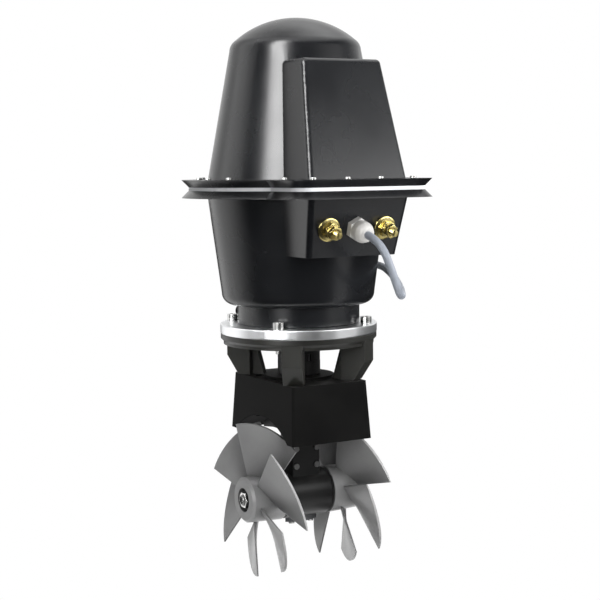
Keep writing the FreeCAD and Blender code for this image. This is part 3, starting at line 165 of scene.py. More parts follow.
controlCable = {
    "diameter": 0.0088,
    "length": 0.497,
    "exit": (0, -0.158353, 0.317595),
    "route": [
        (0, -0.158353, 0.317595), (0, -0.17474, 0.31306), (0.002, -0.189, 0.301), (0.008, -0.1927, 0.282),
        (0.019, -0.187, 0.263), (0.038, -0.164, 0.250), (0.062, -0.132, 0.245), (0.085, -0.094, 0.250),
        (0.101, -0.052, 0.263), (0.110, -0.008, 0.273), (0.109, 0.036, 0.268), (0.094, 0.074, 0.252),
        (0.068, 0.098, 0.236), (0.039, 0.103, 0.222), (0.012, 0.093, 0.2166), (-0.011, 0.085, 0.2166),
    ],
}


def makeCable():
    curve = bpy.data.curves.new("controlCableFlex", "CURVE")
    curve.dimensions = "3D"
    spline = curve.splines.new("NURBS")
    spline.points.add(len(controlCable["route"]) - 1)
    for point, spot in zip(spline.points, controlCable["route"]):
        point.co = (*spot, 1)
        point.radius = controlCable["diameter"] / 2
    spline.order_u = 3
    spline.use_endpoint_u = True
    curve.resolution_u = 16
    curve.bevel_depth = 1.0   # each point's radius gives the size
    curve.bevel_resolution = 7
    curve.use_fill_caps = True
    cable = bpy.data.objects.new("controlCableFlex", curve)
    bpy.context.scene.collection.objects.link(cable)
    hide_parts("control_cable")
    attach(cable, "frame")
    return cable


cable = makeCable()
print("cable laid")


# shader groups: grain, edge wear that is also a painted edge highlight, dust, marks and turned lines, each
# with its own sockets

def startGroup(name, inputs, outputs):
    group = bpy.data.node_groups.new(name, "ShaderNodeTree")
    for label, value in inputs:
        socket = group.interface.new_socket(label, in_out="INPUT", socket_type="NodeSocketFloat")
        socket.default_value = value
    for label in outputs:
        group.interface.new_socket(label, in_out="OUTPUT", socket_type="NodeSocketFloat")
    return group, group.nodes.new("NodeGroupInput").outputs, group.nodes.new("NodeGroupOutput").inputs


def addNode(tree, kind, links=(), **settings):
    # links: (input name or number, socket or plain value)
    node = tree.nodes.new(kind)
    for label, value in settings.items():
        setattr(node, label, value)
    for label, value in links:
        if isinstance(value, bpy.types.NodeSocket):
            tree.links.new(value, node.inputs[label])
        else:
            node.inputs[label].default_value = value
    return node


def addMath(tree, operation, first, second=0.0, clamp=False):
    node = addNode(tree, "ShaderNodeMath", [(0, first), (1, second)], operation=operation, use_clamp=clamp)
    return node.outputs[0]


def addRange(tree, value, low, high, start=0.0, end=1.0, smooth=False):
    node = addNode(tree, "ShaderNodeMapRange", [
        ("Value", value), ("From Min", low), ("From Max", high), ("To Min", start), ("To Max", end)],
        interpolation_type="SMOOTHSTEP" if smooth else "LINEAR")
    return node.outputs["Result"]


def objectCoordinates(tree):
    return tree.nodes.new("ShaderNodeTexCoord").outputs["Object"]


def makeGrain():
    # fine skin of a moulded or cast surface, and slow clouds in its colour
    tree, given, result = startGroup("surfaceGrain", [("Scale", 900.0), ("Clouds", 14.0)],
                                     ["Height", "Cloud"])
    place = objectCoordinates(tree)
    fine = addNode(tree, "ShaderNodeTexNoise", [
        ("Vector", place), ("Scale", given["Scale"]), ("Detail", 3.0)])
    coarse = addNode(tree, "ShaderNodeTexNoise", [
        ("Vector", place), ("Scale", given["Clouds"]), ("Detail", 4.0)])
    tree.links.new(fine.outputs["Fac"], result["Height"])
    tree.links.new(addRange(tree, coarse.outputs["Fac"], 0.32, 0.68, smooth=True), result["Cloud"])
    return tree


def makeEdgeWearAndHighlight():
    # worn corners, which also paint the edge highlights in: where a rounded normal leaves the flat one,
    # broken up by noise
    tree, given, result = startGroup("edgeWearAndHighlight", [("Radius", 0.0006), ("Breakup", 160.0)], ["Mask"])
    rounded = addNode(tree, "ShaderNodeBevel", [("Radius", given["Radius"])], samples=4)
    flat = tree.nodes.new("ShaderNodeNewGeometry")
    match = addNode(tree, "ShaderNodeVectorMath", [(0, rounded.outputs[0]), (1, flat.outputs["Normal"])],
                    operation="DOT_PRODUCT")
    edge = addRange(tree, match.outputs["Value"], 0.985, 0.82)
    noise = addNode(tree, "ShaderNodeTexNoise", [
        ("Vector", objectCoordinates(tree)), ("Scale", given["Breakup"]), ("Detail", 4.0)])
    broken = addRange(tree, noise.outputs["Fac"], 0.42, 0.62, smooth=True)
    tree.links.new(addMath(tree, "MULTIPLY", edge, broken, clamp=True), result["Mask"])
    return tree


def makeDust():
    # settles on faces that look upwards
    tree, given, result = startGroup("settledDust", [("Scale", 60.0)], ["Mask"])
    coordinates = tree.nodes.new("ShaderNodeTexCoord")
    split = addNode(tree, "ShaderNodeSeparateXYZ", [(0, coordinates.outputs["Normal"])])
    upward = addRange(tree, split.outputs["Z"], 0.35, 1.0, smooth=True)
    noise = addNode(tree, "ShaderNodeTexNoise", [
        ("Vector", coordinates.outputs["Object"]), ("Scale", given["Scale"]), ("Detail", 5.0)])
    patches = addRange(tree, noise.outputs["Fac"], 0.35, 0.75)
    tree.links.new(addMath(tree, "MULTIPLY", upward, patches, clamp=True), result["Mask"])
    return tree


def makeMarks():
    # light rubs and hairlines from handling: noise drawn out along one way
    tree, given, result = startGroup("handlingMarks", [("Scale", 40.0)], ["Mask"])
    stretch = addNode(tree, "ShaderNodeMapping", [("Vector", objectCoordinates(tree))])
    stretch.inputs["Scale"].default_value = (1.0, 1.0, 0.12)
    stretch.inputs["Rotation"].default_value = (0.3, 0.2, 0.5)
    lines = addNode(tree, "ShaderNodeTexNoise", [
        ("Vector", stretch.outputs[0]), ("Scale", given["Scale"]), ("Detail", 6.0), ("Roughness", 0.7)])
    rubs = addNode(tree, "ShaderNodeTexNoise", [("Vector", objectCoordinates(tree)), ("Scale", 9.0)])
    thin = addRange(tree, lines.outputs["Fac"], 0.56, 0.70)
    here = addRange(tree, rubs.outputs["Fac"], 0.45, 0.65, smooth=True)
    tree.links.new(addMath(tree, "MULTIPLY", thin, here, clamp=True), result["Mask"])
    return tree


def makeTurning():
    # lines a lathe leaves round the upright axis, on the face and on the rim
    tree, given, result = startGroup("turnedLines", [("Pitch", 2600.0)], ["Height", "Streak"])
    split = addNode(tree, "ShaderNodeSeparateXYZ", [(0, objectCoordinates(tree))])
    squares = addMath(tree, "ADD", addMath(tree, "MULTIPLY", split.outputs["X"], split.outputs["X"]),
                      addMath(tree, "MULTIPLY", split.outputs["Y"], split.outputs["Y"]))
    across = addMath(tree, "ADD", addMath(tree, "SQRT", squares), split.outputs["Z"])
    rings = addNode(tree, "ShaderNodeTexNoise", [
        ("W", addMath(tree, "MULTIPLY", across, given["Pitch"])), ("Scale", 1.0), ("Detail", 2.0)],
        noise_dimensions="1D")
    turn = addMath(tree, "ARCTAN2", split.outputs["Y"], split.outputs["X"])
    sweep = addNode(tree, "ShaderNodeTexNoise", [("W", turn), ("Scale", 7.0), ("Detail", 3.0)],
                    noise_dimensions="1D")
    tree.links.new(rings.outputs["Fac"], result["Height"])
    tree.links.new(addRange(tree, sweep.outputs["Fac"], 0.35, 0.65, smooth=True), result["Streak"])
    return tree


groups = {
    "grain": makeGrain(),
    "wearAndHighlight": makeEdgeWearAndHighlight(),
    "dust": makeDust(),
    "marks": makeMarks(),
    "turning": makeTurning(),
}
print("shader groups built")


# finishes: colours are linear, depth, turning and edge are metres, the rest are shares of an effect
# gloss lowers the plain reflection, the occlusion share is painted shade where neighbours close in, the worn
# colour at edges is partly real wear and partly a painted edge highlight, edge is the rounding seen

surface = {
    "refraction": 1.46,
    "plainGloss": 0.5,
    "cloudRough": 0.05,
    "streakRough": 0.08,
    "dustColour": (0.45, 0.44, 0.42),
    # painted shade where neighbours close in: its colour, how far it looks for them, and how open a spot
    # must be
    "hollowColour": (0.03, 0.03, 0.03),
    "hollowReach": 0.06,
    "hollowRange": (0.25, 0.95),   # how open a spot is where the darkening is full and where it ends
}

finishes = {
    "housingBlack": {"colour": (0.0055, 0.006, 0.0072), "second": (0.008, 0.0086, 0.010), "rough": 0.23,
                     "grain": 1100, "depth": 0.00002, "wearAndHighlight": 0.12, "wornAndHighlightColour": (0.04, 0.04, 0.045),
                     "dust": 0.03, "marks": 0.03, "edge": 0.0009},
    "bracketBlack": {"colour": (0.011, 0.011, 0.0098), "second": (0.020, 0.020, 0.0175), "rough": 0.34,
                     "gloss": 0.42, "grain": 700, "depth": 0.00006, "wearAndHighlight": 0.5,
                     "wornAndHighlightColour": (0.10, 0.10, 0.095), "dust": 0.06, "marks": 0.16, "edge": 0.0012},
    "saddleBlack": {"colour": (0.0035, 0.0035, 0.0035), "second": (0.006, 0.006, 0.0058), "rough": 0.62,
                    "gloss": 0.05, "grain": 600, "depth": 0.0001, "wearAndHighlight": 0.35,
                    "wornAndHighlightColour": (0.06, 0.06, 0.058), "dust": 0.05, "marks": 0.1, "edge": 0.0012},
    "legBlack": {"colour": (0.005, 0.005, 0.005), "second": (0.009, 0.009, 0.009), "rough": 0.36,
                 "gloss": 0.25, "grain": 800, "depth": 0.00004, "wearAndHighlight": 0.4,
                 "wornAndHighlightColour": (0.08, 0.08, 0.08), "dust": 0.03, "marks": 0.15, "edge": 0.0009},
    "gasketWhite": {"colour": (0.78, 0.79, 0.81), "second": (0.68, 0.69, 0.71), "rough": 0.55,
                    "grain": 1500, "depth": 0.00002, "wearAndHighlight": 0.2, "wornAndHighlightColour": (0.5, 0.5, 0.5),
                    "dust": 0.0, "marks": 0.05, "edge": 0.0005},
    "stainlessSteel": {"colour": (0.66, 0.66, 0.65), "second": (0.56, 0.56, 0.55), "rough": 0.24,
                       "metal": 1.0, "grain": 1800, "depth": 0.00001, "wearAndHighlight": 0.3,
                       "wornAndHighlightColour": (0.8, 0.8, 0.8), "dust": 0.0, "marks": 0.2, "edge": 0.0004},
    # dark steel whose light worn colour at the edges paints a bright rim highlight
    "darkSteel": {"colour": (0.16, 0.16, 0.158), "second": (0.10, 0.10, 0.10), "rough": 0.38,
                  "metal": 1.0, "grain": 1500, "depth": 0.00002, "wearAndHighlight": 0.9,
                  "wornAndHighlightColour": (0.75, 0.75, 0.74), "dust": 0.0, "marks": 0.2, "edge": 0.0005},
    "turnedAluminium": {"colour": (0.82, 0.83, 0.84), "second": (0.72, 0.73, 0.74), "rough": 0.27,
                        "metal": 1.0, "grain": 1600, "depth": 0.00001, "turning": 0.00003, "wearAndHighlight": 0.3,
                        "wornAndHighlightColour": (0.92, 0.92, 0.93), "dust": 0.02, "marks": 0.15, "edge": 0.0006},
    # the propellers carry painted shade near their hubs and between their blades
    "propellerGrey": {"colour": (0.31, 0.31, 0.312), "second": (0.38, 0.38, 0.38), "rough": 0.31,
                      "gloss": 0.25, "hollow": 0.8, "grain": 1300, "depth": 0.00003, "wearAndHighlight": 0.55,
                      "wornAndHighlightColour": (0.58, 0.58, 0.58), "dust": 0.04, "marks": 0.12, "edge": 0.0011},
    "washerBlack": {"colour": (0.014, 0.014, 0.014), "second": (0.022, 0.022, 0.022), "rough": 0.55,
                    "grain": 1300, "depth": 0.00003, "wearAndHighlight": 0.2, "wornAndHighlightColour": (0.06, 0.06, 0.06),
                    "dust": 0.03, "marks": 0.1, "edge": 0.0005},
    "anodeZinc": {"colour": (0.16, 0.165, 0.17), "second": (0.09, 0.092, 0.096), "rough": 0.55, "metal": 0.6,
                  "grain": 500, "depth": 0.0001, "wearAndHighlight": 0.6, "wornAndHighlightColour": (0.4, 0.4, 0.41),
                  "dust": 0.0, "marks": 0.2, "edge": 0.0006},
    "terminalBrass": {"colour": (0.74, 0.63, 0.27), "second": (0.50, 0.41, 0.16), "rough": 0.24,
                      "metal": 1.0, "grain": 1500, "depth": 0.00001, "wearAndHighlight": 0.5,
                      "wornAndHighlightColour": (0.92, 0.76, 0.42), "dust": 0.0, "marks": 0.25, "edge": 0.0005},
    "glandGrey": {"colour": (0.60, 0.59, 0.57), "second": (0.53, 0.52, 0.50), "rough": 0.42,
                  "grain": 1500, "depth": 0.00002, "wearAndHighlight": 0.2, "wornAndHighlightColour": (0.7, 0.7, 0.68),
                  "dust": 0.0, "marks": 0.08, "edge": 0.0006},
    "cableGrey": {"colour": (0.30, 0.325, 0.37), "second": (0.25, 0.27, 0.31), "rough": 0.42,
                  "grain": 1400, "depth": 0.00003, "wearAndHighlight": 0.0, "wornAndHighlightColour": (0.4, 0.4, 0.4),
                  "dust": 0.03, "marks": 0.15, "edge": 0.0003},
    "motorSteel": {"colour": (0.09, 0.09, 0.10), "second": (0.13, 0.13, 0.14), "rough": 0.38, "metal": 0.5,
                   "grain": 900, "depth": 0.00004, "wearAndHighlight": 0.4, "wornAndHighlightColour": (0.3, 0.3, 0.3),
                   "dust": 0.0, "marks": 0.2, "edge": 0.0006},
    "magnetFerrite": {"colour": (0.05, 0.05, 0.052), "second": (0.035, 0.035, 0.036), "rough": 0.6,
                      "grain": 700, "depth": 0.00008, "wearAndHighlight": 0.4, "wornAndHighlightColour": (0.12, 0.12, 0.12),
                      "dust": 0.0, "marks": 0.1, "edge": 0.0006},
    "windingCopper": {"colour": (0.72, 0.36, 0.19), "second": (0.55, 0.25, 0.12), "rough": 0.3, "metal": 1.0,
                      "grain": 1200, "depth": 0.00008, "turning": 0.0001, "wearAndHighlight": 0.2,
                      "wornAndHighlightColour": (0.8, 0.5, 0.3), "dust": 0.0, "marks": 0.1, "edge": 0.0005},
}


def placeGroup(tree, key, links):
    node = tree.nodes.new("ShaderNodeGroup")
    node.node_tree = groups[key]
    for label, value in links:
        node.inputs[label].default_value = value
    return node.outputs


def mixColours(tree, mask, first, second):
    node = addNode(tree, "ShaderNodeMix", [("Factor", mask)], data_type="RGBA")
    for socket, value in ((node.inputs[6], first), (node.inputs[7], second)):
        if isinstance(value, bpy.types.NodeSocket):
            tree.links.new(value, socket)
        else:
            socket.default_value = (*value, 1)
    return node.outputs[2]


def makeFinish(name):
    look = finishes[name]
    material = bpy.data.materials.new(name)
    material.use_nodes = True
    tree = material.node_tree
    shader = tree.nodes["Principled BSDF"]
    shader.inputs["Metallic"].default_value = look.get("metal", 0.0)
    shader.inputs["IOR"].default_value = surface["refraction"]
    shader.inputs["Specular IOR Level"].default_value = look.get("gloss", surface["plainGloss"])
    grain = placeGroup(tree, "grain", [("Scale", look["grain"])])
    marks = placeGroup(tree, "marks", [])
    colour = mixColours(tree, grain["Cloud"], look["colour"], look["second"])
    # edges take the worn colour: partly real wear, partly a painted edge highlight
    if look["wearAndHighlight"]:
        wearAndHighlight = placeGroup(tree, "wearAndHighlight", [("Radius", look["edge"])])
        colour = mixColours(tree, addMath(tree, "MULTIPLY", wearAndHighlight["Mask"], look["wearAndHighlight"]), colour,
                            look["wornAndHighlightColour"])
    if look["dust"]:
        dust = placeGroup(tree, "dust", [])
        colour = mixColours(tree, addMath(tree, "MULTIPLY", dust["Mask"], look["dust"]), colour,
                            surface["dustColour"])
    # painted shade: ambient occlusion darkens the colour where neighbours close in
    if "hollow" in look:
        occlusion = addNode(tree, "ShaderNodeAmbientOcclusion", [("Distance", surface["hollowReach"])],
                         samples=6)
        paintedShadeMask = addRange(tree, occlusion.outputs["AO"], *surface["hollowRange"], look["hollow"], 0.0)
        colour = mixColours(tree, paintedShadeMask, colour, surface["hollowColour"])
    clouded = addRange(tree, grain["Cloud"], 0, 1, look["rough"], look["rough"] + surface["cloudRough"])
    rough = addMath(tree, "ADD", clouded, addMath(tree, "MULTIPLY", marks["Mask"], look["marks"]))
    height = addMath(tree, "MULTIPLY", grain["Height"], look["depth"])
    if "turning" in look:
        turning = placeGroup(tree, "turning", [])
        lines = addMath(tree, "MULTIPLY", turning["Height"], look["turning"])
        height = addMath(tree, "ADD", height, lines)
        streaks = addMath(tree, "MULTIPLY", turning["Streak"], surface["streakRough"])
        rough = addMath(tree, "ADD", rough, streaks)
    rounded = addNode(tree, "ShaderNodeBevel", [("Radius", look["edge"])], samples=4)
    bump = addNode(tree, "ShaderNodeBump", [
        ("Height", height), ("Distance", 1.0), ("Strength", 1.0), ("Normal", rounded.outputs[0])])
    tree.links.new(colour, shader.inputs["Base Color"])
    tree.links.new(addMath(tree, "MINIMUM", rough, 1.0), shader.inputs["Roughness"])
    tree.links.new(bump.outputs[0], shader.inputs["Normal"])
    return material


materials = {name: makeFinish(name) for name in finishes}
cable.data.materials.append(materials["cableGrey"])
print("finishes made")


# the CAD's pieces, merged, softened and smoothed, each standing for its node

bodyOf = {"motor_rotor": ["lower_coupling", "upper_coupling", "coupling_spider"],
          "propeller_shaft_set": ["propeller_left", "propeller_right", "propeller_washers",
                                  "propeller_nuts", "propeller_shaft"]}

# node, new name, finish, slot, bevel width in metres, smooth angle in degrees
refined = [
    ("top_cover", "topCoverShell", "housingBlack", "housing_black", 0, 30),
    ("lower_housing", "lowerHousingShell", "housingBlack", "housing_black", 0, 30),
    ("motor_neck", "motorNeckRing", "housingBlack", "housing_black", 0, 30),
    ("cover_gasket", "coverGasketSheet", "gasketWhite", "gasket_white", 0, 30),
    ("mounting_ring", "mountingRingPlate", "turnedAluminium", "machined_aluminium", 0.0006, 30),
    ("mounting_bracket", "mountingBracketCasting", "bracketBlack", "leg_black", 0.0009, 30),
    ("saddle", "saddleBlock", "saddleBlack", "leg_black", 0.0014, 30),
    ("leg_housing", "legHousingCasting", "legBlack", "leg_black", 0, 30),
    ("bearing_carrier", "bearingCarrierPlate", "legBlack", "leg_black", 0.0004, 30),
    ("propeller_left", "propellerLeft", "propellerGrey", "propeller_grey", 0, 35),
    ("propeller_right", "propellerRight", "propellerGrey", "propeller_grey", 0, 35),
    ("propeller_washers", "propellerWashers", "washerBlack", "washer_black", 0.0003, 30),
    ("propeller_shaft", "propellerShaftBar", "darkSteel", "stainless", 0.0003, 30),
    ("ring_screws", "ringScrews", "stainlessSteel", "stainless", 0.0006, 30),
    ("flange_screws", "flangeScrews", "stainlessSteel", "stainless", 0.0004, 30),
    ("leg_screws", "legScrews", "darkSteel", "stainless", 0.0004, 30),
    ("anode", "anodeBar", "anodeZinc", "anode_zinc", 0.0006, 30),
    ("anode_screws", "anodeScrews", "stainlessSteel", "stainless", 0.0004, 30),
    ("gland_nut", "glandCapNut", "glandGrey", "gland_grey", 0.0004, 40),
    ("cable_plug", "cablePlugShell", "washerBlack", "washer_black", 0.0004, 30),
    ("upper_coupling", "couplingHalfUpper", "legBlack", "leg_black", 0.0004, 30),
    ("lower_coupling", "couplingHalfLower", "legBlack", "leg_black", 0.0004, 30),
    ("coupling_spider", "couplingSpider", "washerBlack", "washer_black", 0.0004, 30),
]

# shut inside the housings, so the CAD's own shape stays and takes a finish
inside = {
    "stainlessSteel": ["shear_pins", "shaft_bearings", "pinion_bearing", "drive_shaft_bearing", "crown_gear",
                       "drive_end_bearing", "brush_end_bearing", "motor_shaft", "pinion_shaft"],
    "washerBlack": ["shaft_seals", "brush_holder"],
    "turnedAluminium": ["drive_end_plate", "brush_end_plate"],
    "motorSteel": ["motor_yoke", "armature_core", "carbon_brushes"],
    "magnetFerrite": ["field_magnets"],
    "windingCopper": ["armature_windings", "commutator"],
}


def bodyFor(node):
    for body, members in bodyOf.items():
        if node in members:
            return body
    return "frame"


def settle(piece, finish, slot, *nodeNames):
    # finish and body of a piece that stands for CAD nodes
    piece.data.materials.clear()
    piece.data.materials.append(materials[finish])
    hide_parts(*nodeNames)
    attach(piece, bodyFor(nodeNames[0]))
    return piece


refining = {
    "mergeWithin": 0.000002,
    "flatWithin": 0.15,   # degrees between faces that become one
    "cornerAngle": 30,    # degrees past which an edge is bevelled
}


def refine(node, name, finish, slot, bevelWidth, smoothAngle):
    piece = bpy.data.objects.new(name, nodes[node].data.copy())
    bpy.context.scene.collection.objects.link(piece)
    workOn(piece)
    bpy.ops.mesh.customdata_custom_splitnormals_clear()
    bpy.ops.object.mode_set(mode="EDIT")
    bpy.ops.mesh.select_all(action="SELECT")
    bpy.ops.mesh.remove_doubles(threshold=refining["mergeWithin"])
    bpy.ops.mesh.dissolve_limited(angle_limit=math.radians(refining["flatWithin"]))
    bpy.ops.object.mode_set(mode="OBJECT")
    if bevelWidth:
        bevel = piece.modifiers.new("softEdges", "BEVEL")
        bevel.width = bevelWidth
        bevel.segments = 2
        bevel.limit_method = "ANGLE"
        bevel.angle_limit = math.radians(refining["cornerAngle"])
        bevel.use_clamp_overlap = True
    weigh = piece.modifiers.new("evenNormals", "WEIGHTED_NORMAL")
    weigh.keep_sharp = True
    bpy.ops.object.shade_smooth_by_angle(angle=math.radians(smoothAngle))
    applyModifiers(piece)
    return settle(piece, finish, slot, node)


shells = {row[0]: refine(*row) for row in refined}
for finish, members in inside.items():
    for member in members:
        for socket in nodes[member].material_slots:
            socket.material = materials[finish]
print("CAD pieces finished")


# battery studs with rolled threads, their flanged nuts and lock nuts

terminal = {
    "foot": (0.036, -0.135223, 0.324),   # where a stud's axis meets the housing's face
    "tilt": 105.479,
    "studRadius": 0.004,
    "studLength": 0.025,
    "studInside": 0.014,
    "threadPitch": 0.00125,
    "threadDepth": 0.0006,
    "flangeRadius": 0.0135,
    "flangeHeight": 0.003,
    "nutAcross": 0.017,
    "nutHeight": 0.007,
    "washerHeight": 0.0015,
    "lockAcross": 0.014,
    "lockHeight": 0.006,
    "headAcross": 0.013,
    "headHeight": 0.005,
    "flangeSlopeWidth": 0.0022,
    "flangeSlopeDrop": 0.0009,
    "rimRound": 0.0003,
    "endRound": 0.0005,
    "sunk": 0.0002,         # how far one part of a nut goes into the other
    "threadStop": 0.0012,   # from the thread's last turn to the stud's end
}

# a nut's shape: shares of its corners' reach, of the chamfer and of the bore
hexShape = {
    "blank": 1.001,
    "chamfer": 1.15,
    "chamferDrop": 0.58,
    "sinkMargin": 0.2,
    "sinkRadius": 1.25,
    "sinkDepth": 0.22,
    "sinkTaper": 0.8,
}

# a thread's shape: shares of its depth, and its steps a turn
threadShape = {
    "steps": 28,
    "crest": 1.35,       # above 1 the crest is flat
    "core": 0.9,
    "dressed": 2.2,      # length of the cone at the end
    "dressedFall": 0.8,
}


def cutHexagon(piece, across):
    # six flat cuts round a turned blank, so the chamfer runs out in arcs
    workOn(piece)
    bpy.ops.object.mode_set(mode="EDIT")
    for side in range(6):
        angle = math.radians(60 * side)
        out = (math.cos(angle), math.sin(angle), 0)
        bpy.ops.mesh.select_all(action="SELECT")
        bpy.ops.mesh.bisect(plane_co=(out[0] * across / 2, out[1] * across / 2, 0), plane_no=out,
                            use_fill=True, clear_outer=True)
    bpy.ops.object.mode_set(mode="OBJECT")


def makeHexNut(name, across, height, base, bore):
    corner = across / 2 / math.cos(math.radians(30))
    chamfer = (corner - across / 2) * hexShape["chamfer"]
    nut = addBlank(name, 60, corner * hexShape["blank"], height, base)
    top = base + height
    selectFaces(nut, lambda face: face.normal.z > 0.9 and face.center.z > top - sliver)
    bpy.ops.mesh.inset(thickness=chamfer)
    bpy.ops.object.mode_set(mode="OBJECT")
    for vertex in nut.data.vertices:  # the outer ring drops, which turns the inset into a chamfer
        if vertex.co.z > top - sliver and vertex.co.xy.length > corner - sliver:
            vertex.co.z -= chamfer * hexShape["chamferDrop"]
    cutHexagon(nut, across)
    # countersink round the bore
    selectFaces(nut, lambda face: face.normal.z > 0.9 and face.center.xy.length < 0.001)
    margin = chamfer * hexShape["sinkMargin"]
    sink = (0, 0, -bore * hexShape["sinkDepth"])
    bpy.ops.mesh.inset(thickness=across / 2 - margin - bore * hexShape["sinkRadius"])
    bpy.ops.mesh.extrude_region_move(TRANSFORM_OT_translate={"value": sink})
    bpy.ops.transform.resize(value=(hexShape["sinkTaper"], hexShape["sinkTaper"], 1))
    bpy.ops.object.mode_set(mode="OBJECT")
    return nut


def makeThreadedBar(name, radius, depth, pitch, high):
    # a thread's profile, one edge of a plane with its crest pulled out, wound up by the Screw modifier
    bpy.ops.mesh.primitive_plane_add(size=pitch, location=(0, 0, 0))
    bar = bpy.context.object
    bar.name = name
    bpy.ops.object.mode_set(mode="EDIT")
    bpy.ops.mesh.select_all(action="DESELECT")
    bpy.ops.object.mode_set(mode="OBJECT")
    for vertex in bar.data.vertices:
        vertex.select = vertex.co.x < 0
    bpy.ops.object.mode_set(mode="EDIT")
    bpy.ops.mesh.delete(type="VERT")
    bpy.ops.mesh.select_all(action="SELECT")
    bpy.ops.mesh.subdivide(number_cuts=3)
    bpy.ops.object.mode_set(mode="OBJECT")
    for vertex in bar.data.vertices:
        along = vertex.co.y + pitch / 2
        crest = 1 - abs(along / pitch * 2 - 1)
        vertex.co = (radius - depth + depth * min(1, crest * threadShape["crest"]), 0, along)
    screw = bar.modifiers.new("thread", "SCREW")
    screw.axis = "Z"
    screw.steps = threadShape["steps"]
    screw.render_steps = threadShape["steps"]
    screw.screw_offset = pitch
    screw.iterations = int(high / pitch)
    screw.use_merge_vertices = True
    screw.merge_threshold = 0.00001
    applyModifiers(bar)
    for vertex in bar.data.vertices:
        over = vertex.co.z - (high - depth * threadShape["dressed"])
        if over > 0:  # the end is dressed to a short cone
            limit = radius - over * threadShape["dressedFall"]
            vertex.co.xy *= min(1, limit / vertex.co.xy.length)
    return bar


def makeStud(side, name, node):
    high, inside, radius = terminal["studLength"], terminal["studInside"], terminal["studRadius"]
    depth = terminal["threadDepth"]
    thread = makeThreadedBar(name + "Thread", radius, depth, terminal["threadPitch"],
                             high - terminal["threadStop"])
    core = addBlank(name + "Core", 28, radius - depth * threadShape["core"], high + inside, -inside)
    bevelFaces(core, lambda face: face.normal.z > 0.9, terminal["endRound"])
    head = makeHexNut(name + "Head", terminal["headAcross"], terminal["headHeight"], -inside, radius)
    stud = joinPieces([thread, core, head], name)
    stud.rotation_euler = (math.radians(terminal["tilt"]), 0, 0)
    stud.location = (side * terminal["foot"][0], *terminal["foot"][1:])
    finishMesh(stud, 34)
    return settle(stud, "terminalBrass", "terminal_brass", node)


def makeFlangedNut():
    height = terminal["flangeHeight"]
    flange = addBlank("nutFlange", 64, terminal["flangeRadius"], height, 0.0)
    selectFaces(flange, lambda face: face.normal.z > 0.9)
    bpy.ops.mesh.inset(thickness=terminal["flangeSlopeWidth"])
    bpy.ops.object.mode_set(mode="OBJECT")
    for vertex in flange.data.vertices:  # the flange's top slopes to its rim
        if vertex.co.z > height - sliver and vertex.co.xy.length > terminal["flangeRadius"] - sliver:
            vertex.co.z -= terminal["flangeSlopeDrop"]
    roundRim(flange, terminal["rimRound"])
    hexagon = makeHexNut("flangedHex", terminal["nutAcross"], terminal["nutHeight"] + terminal["sunk"],
                         height - terminal["sunk"], terminal["studRadius"])
    return joinPieces([flange, hexagon], "terminalFlangedNuts")


def makeLockNut():
    foot = terminal["flangeHeight"] + terminal["nutHeight"]
    washer = addBlank("lockWasher", 48, terminal["nutAcross"] / 2 - terminal["sunk"],
                      terminal["washerHeight"], foot)
    roundRim(washer, terminal["rimRound"])
    hexagon = makeHexNut("lockHex", terminal["lockAcross"], terminal["lockHeight"],
                         foot + terminal["washerHeight"], terminal["studRadius"])
    return joinPieces([washer, hexagon], "terminalLockNuts")


def pairOnStuds(piece, turns):
    # one on each stud, each turned as it happened to be tightened
    second = piece.copy()
    second.data = piece.data.copy()
    bpy.context.scene.collection.objects.link(second)
    tilt = Matrix.Rotation(math.radians(terminal["tilt"]), 4, "X")
    for item, side, turn in ((piece, -1, turns[0]), (second, 1, turns[1])):
        spot = Matrix.Translation((side * terminal["foot"][0], *terminal["foot"][1:]))
        item.matrix_world = spot @ tilt @ Matrix.Rotation(math.radians(turn), 4, "Z")
        applyPlace(item)
    pair = joinPieces([piece, second], piece.name)
    finishMesh(pair, 32)
    return pair


makeStud(-1, "positiveStud", "positive_terminal")
makeStud(1, "negativeStud", "negative_terminal")
settle(pairOnStuds(makeFlangedNut(), (8, 22)), "terminalBrass", "terminal_brass", "terminal_flange_nuts")
settle(pairOnStuds(makeLockNut(), (17, -6)), "terminalBrass", "terminal_brass", "terminal_lock_nuts")
print("terminals made")


# the gland's base, a hexagon on a stem that goes through the housing's face

glandBase = {"across": 0.024, "height": 0.008, "stemRadius": 0.008, "stemInside": 0.0105, "endRound": 0.0006}


def makeGland():
    height, inside, radius = glandBase["height"], glandBase["stemInside"], glandBase["stemRadius"]
    hexagon = makeHexNut("glandBaseHex", glandBase["across"], height, 0.0, radius)
    stem = addBlank("glandStem", 40, radius, height + inside, -inside)
    bevelFaces(stem, lambda face: abs(face.normal.z) > 0.9, glandBase["endRound"])
    gland = joinPieces([hexagon, stem], "glandBase")
    gland.rotation_euler = (math.radians(terminal["tilt"]), 0, 0)
    gland.location = (0, *terminal["foot"][1:])
    finishMesh(gland, 32)
    return settle(gland, "glandGrey", "gland_grey", "cable_gland")


makeGland()
print("gland made")


# propeller nuts, hexagons with a chamfer on their outer faces

propellerNut = {"across": 0.017, "height": 0.007, "outside": 0.0785, "bore": 0.006}


def makePropellerNuts():
    nuts = []
    for side in (-1, 1):
        nut = makeHexNut("shaftNut", propellerNut["across"], propellerNut["height"],
                         propellerNut["outside"] - propellerNut["height"], propellerNut["bore"])
        nut.rotation_euler = (0, side * math.pi / 2, 0)
        applyPlace(nut)
        nuts.append(nut)
    pair = joinPieces(nuts, "propellerNuts")
    finishMesh(pair, 32)
    return settle(pair, "stainlessSteel", "stainless", "propeller_nuts")


makePropellerNuts()
print("propeller nuts made")


# studio: pale floor, soft boxes, and a white cove behind the object

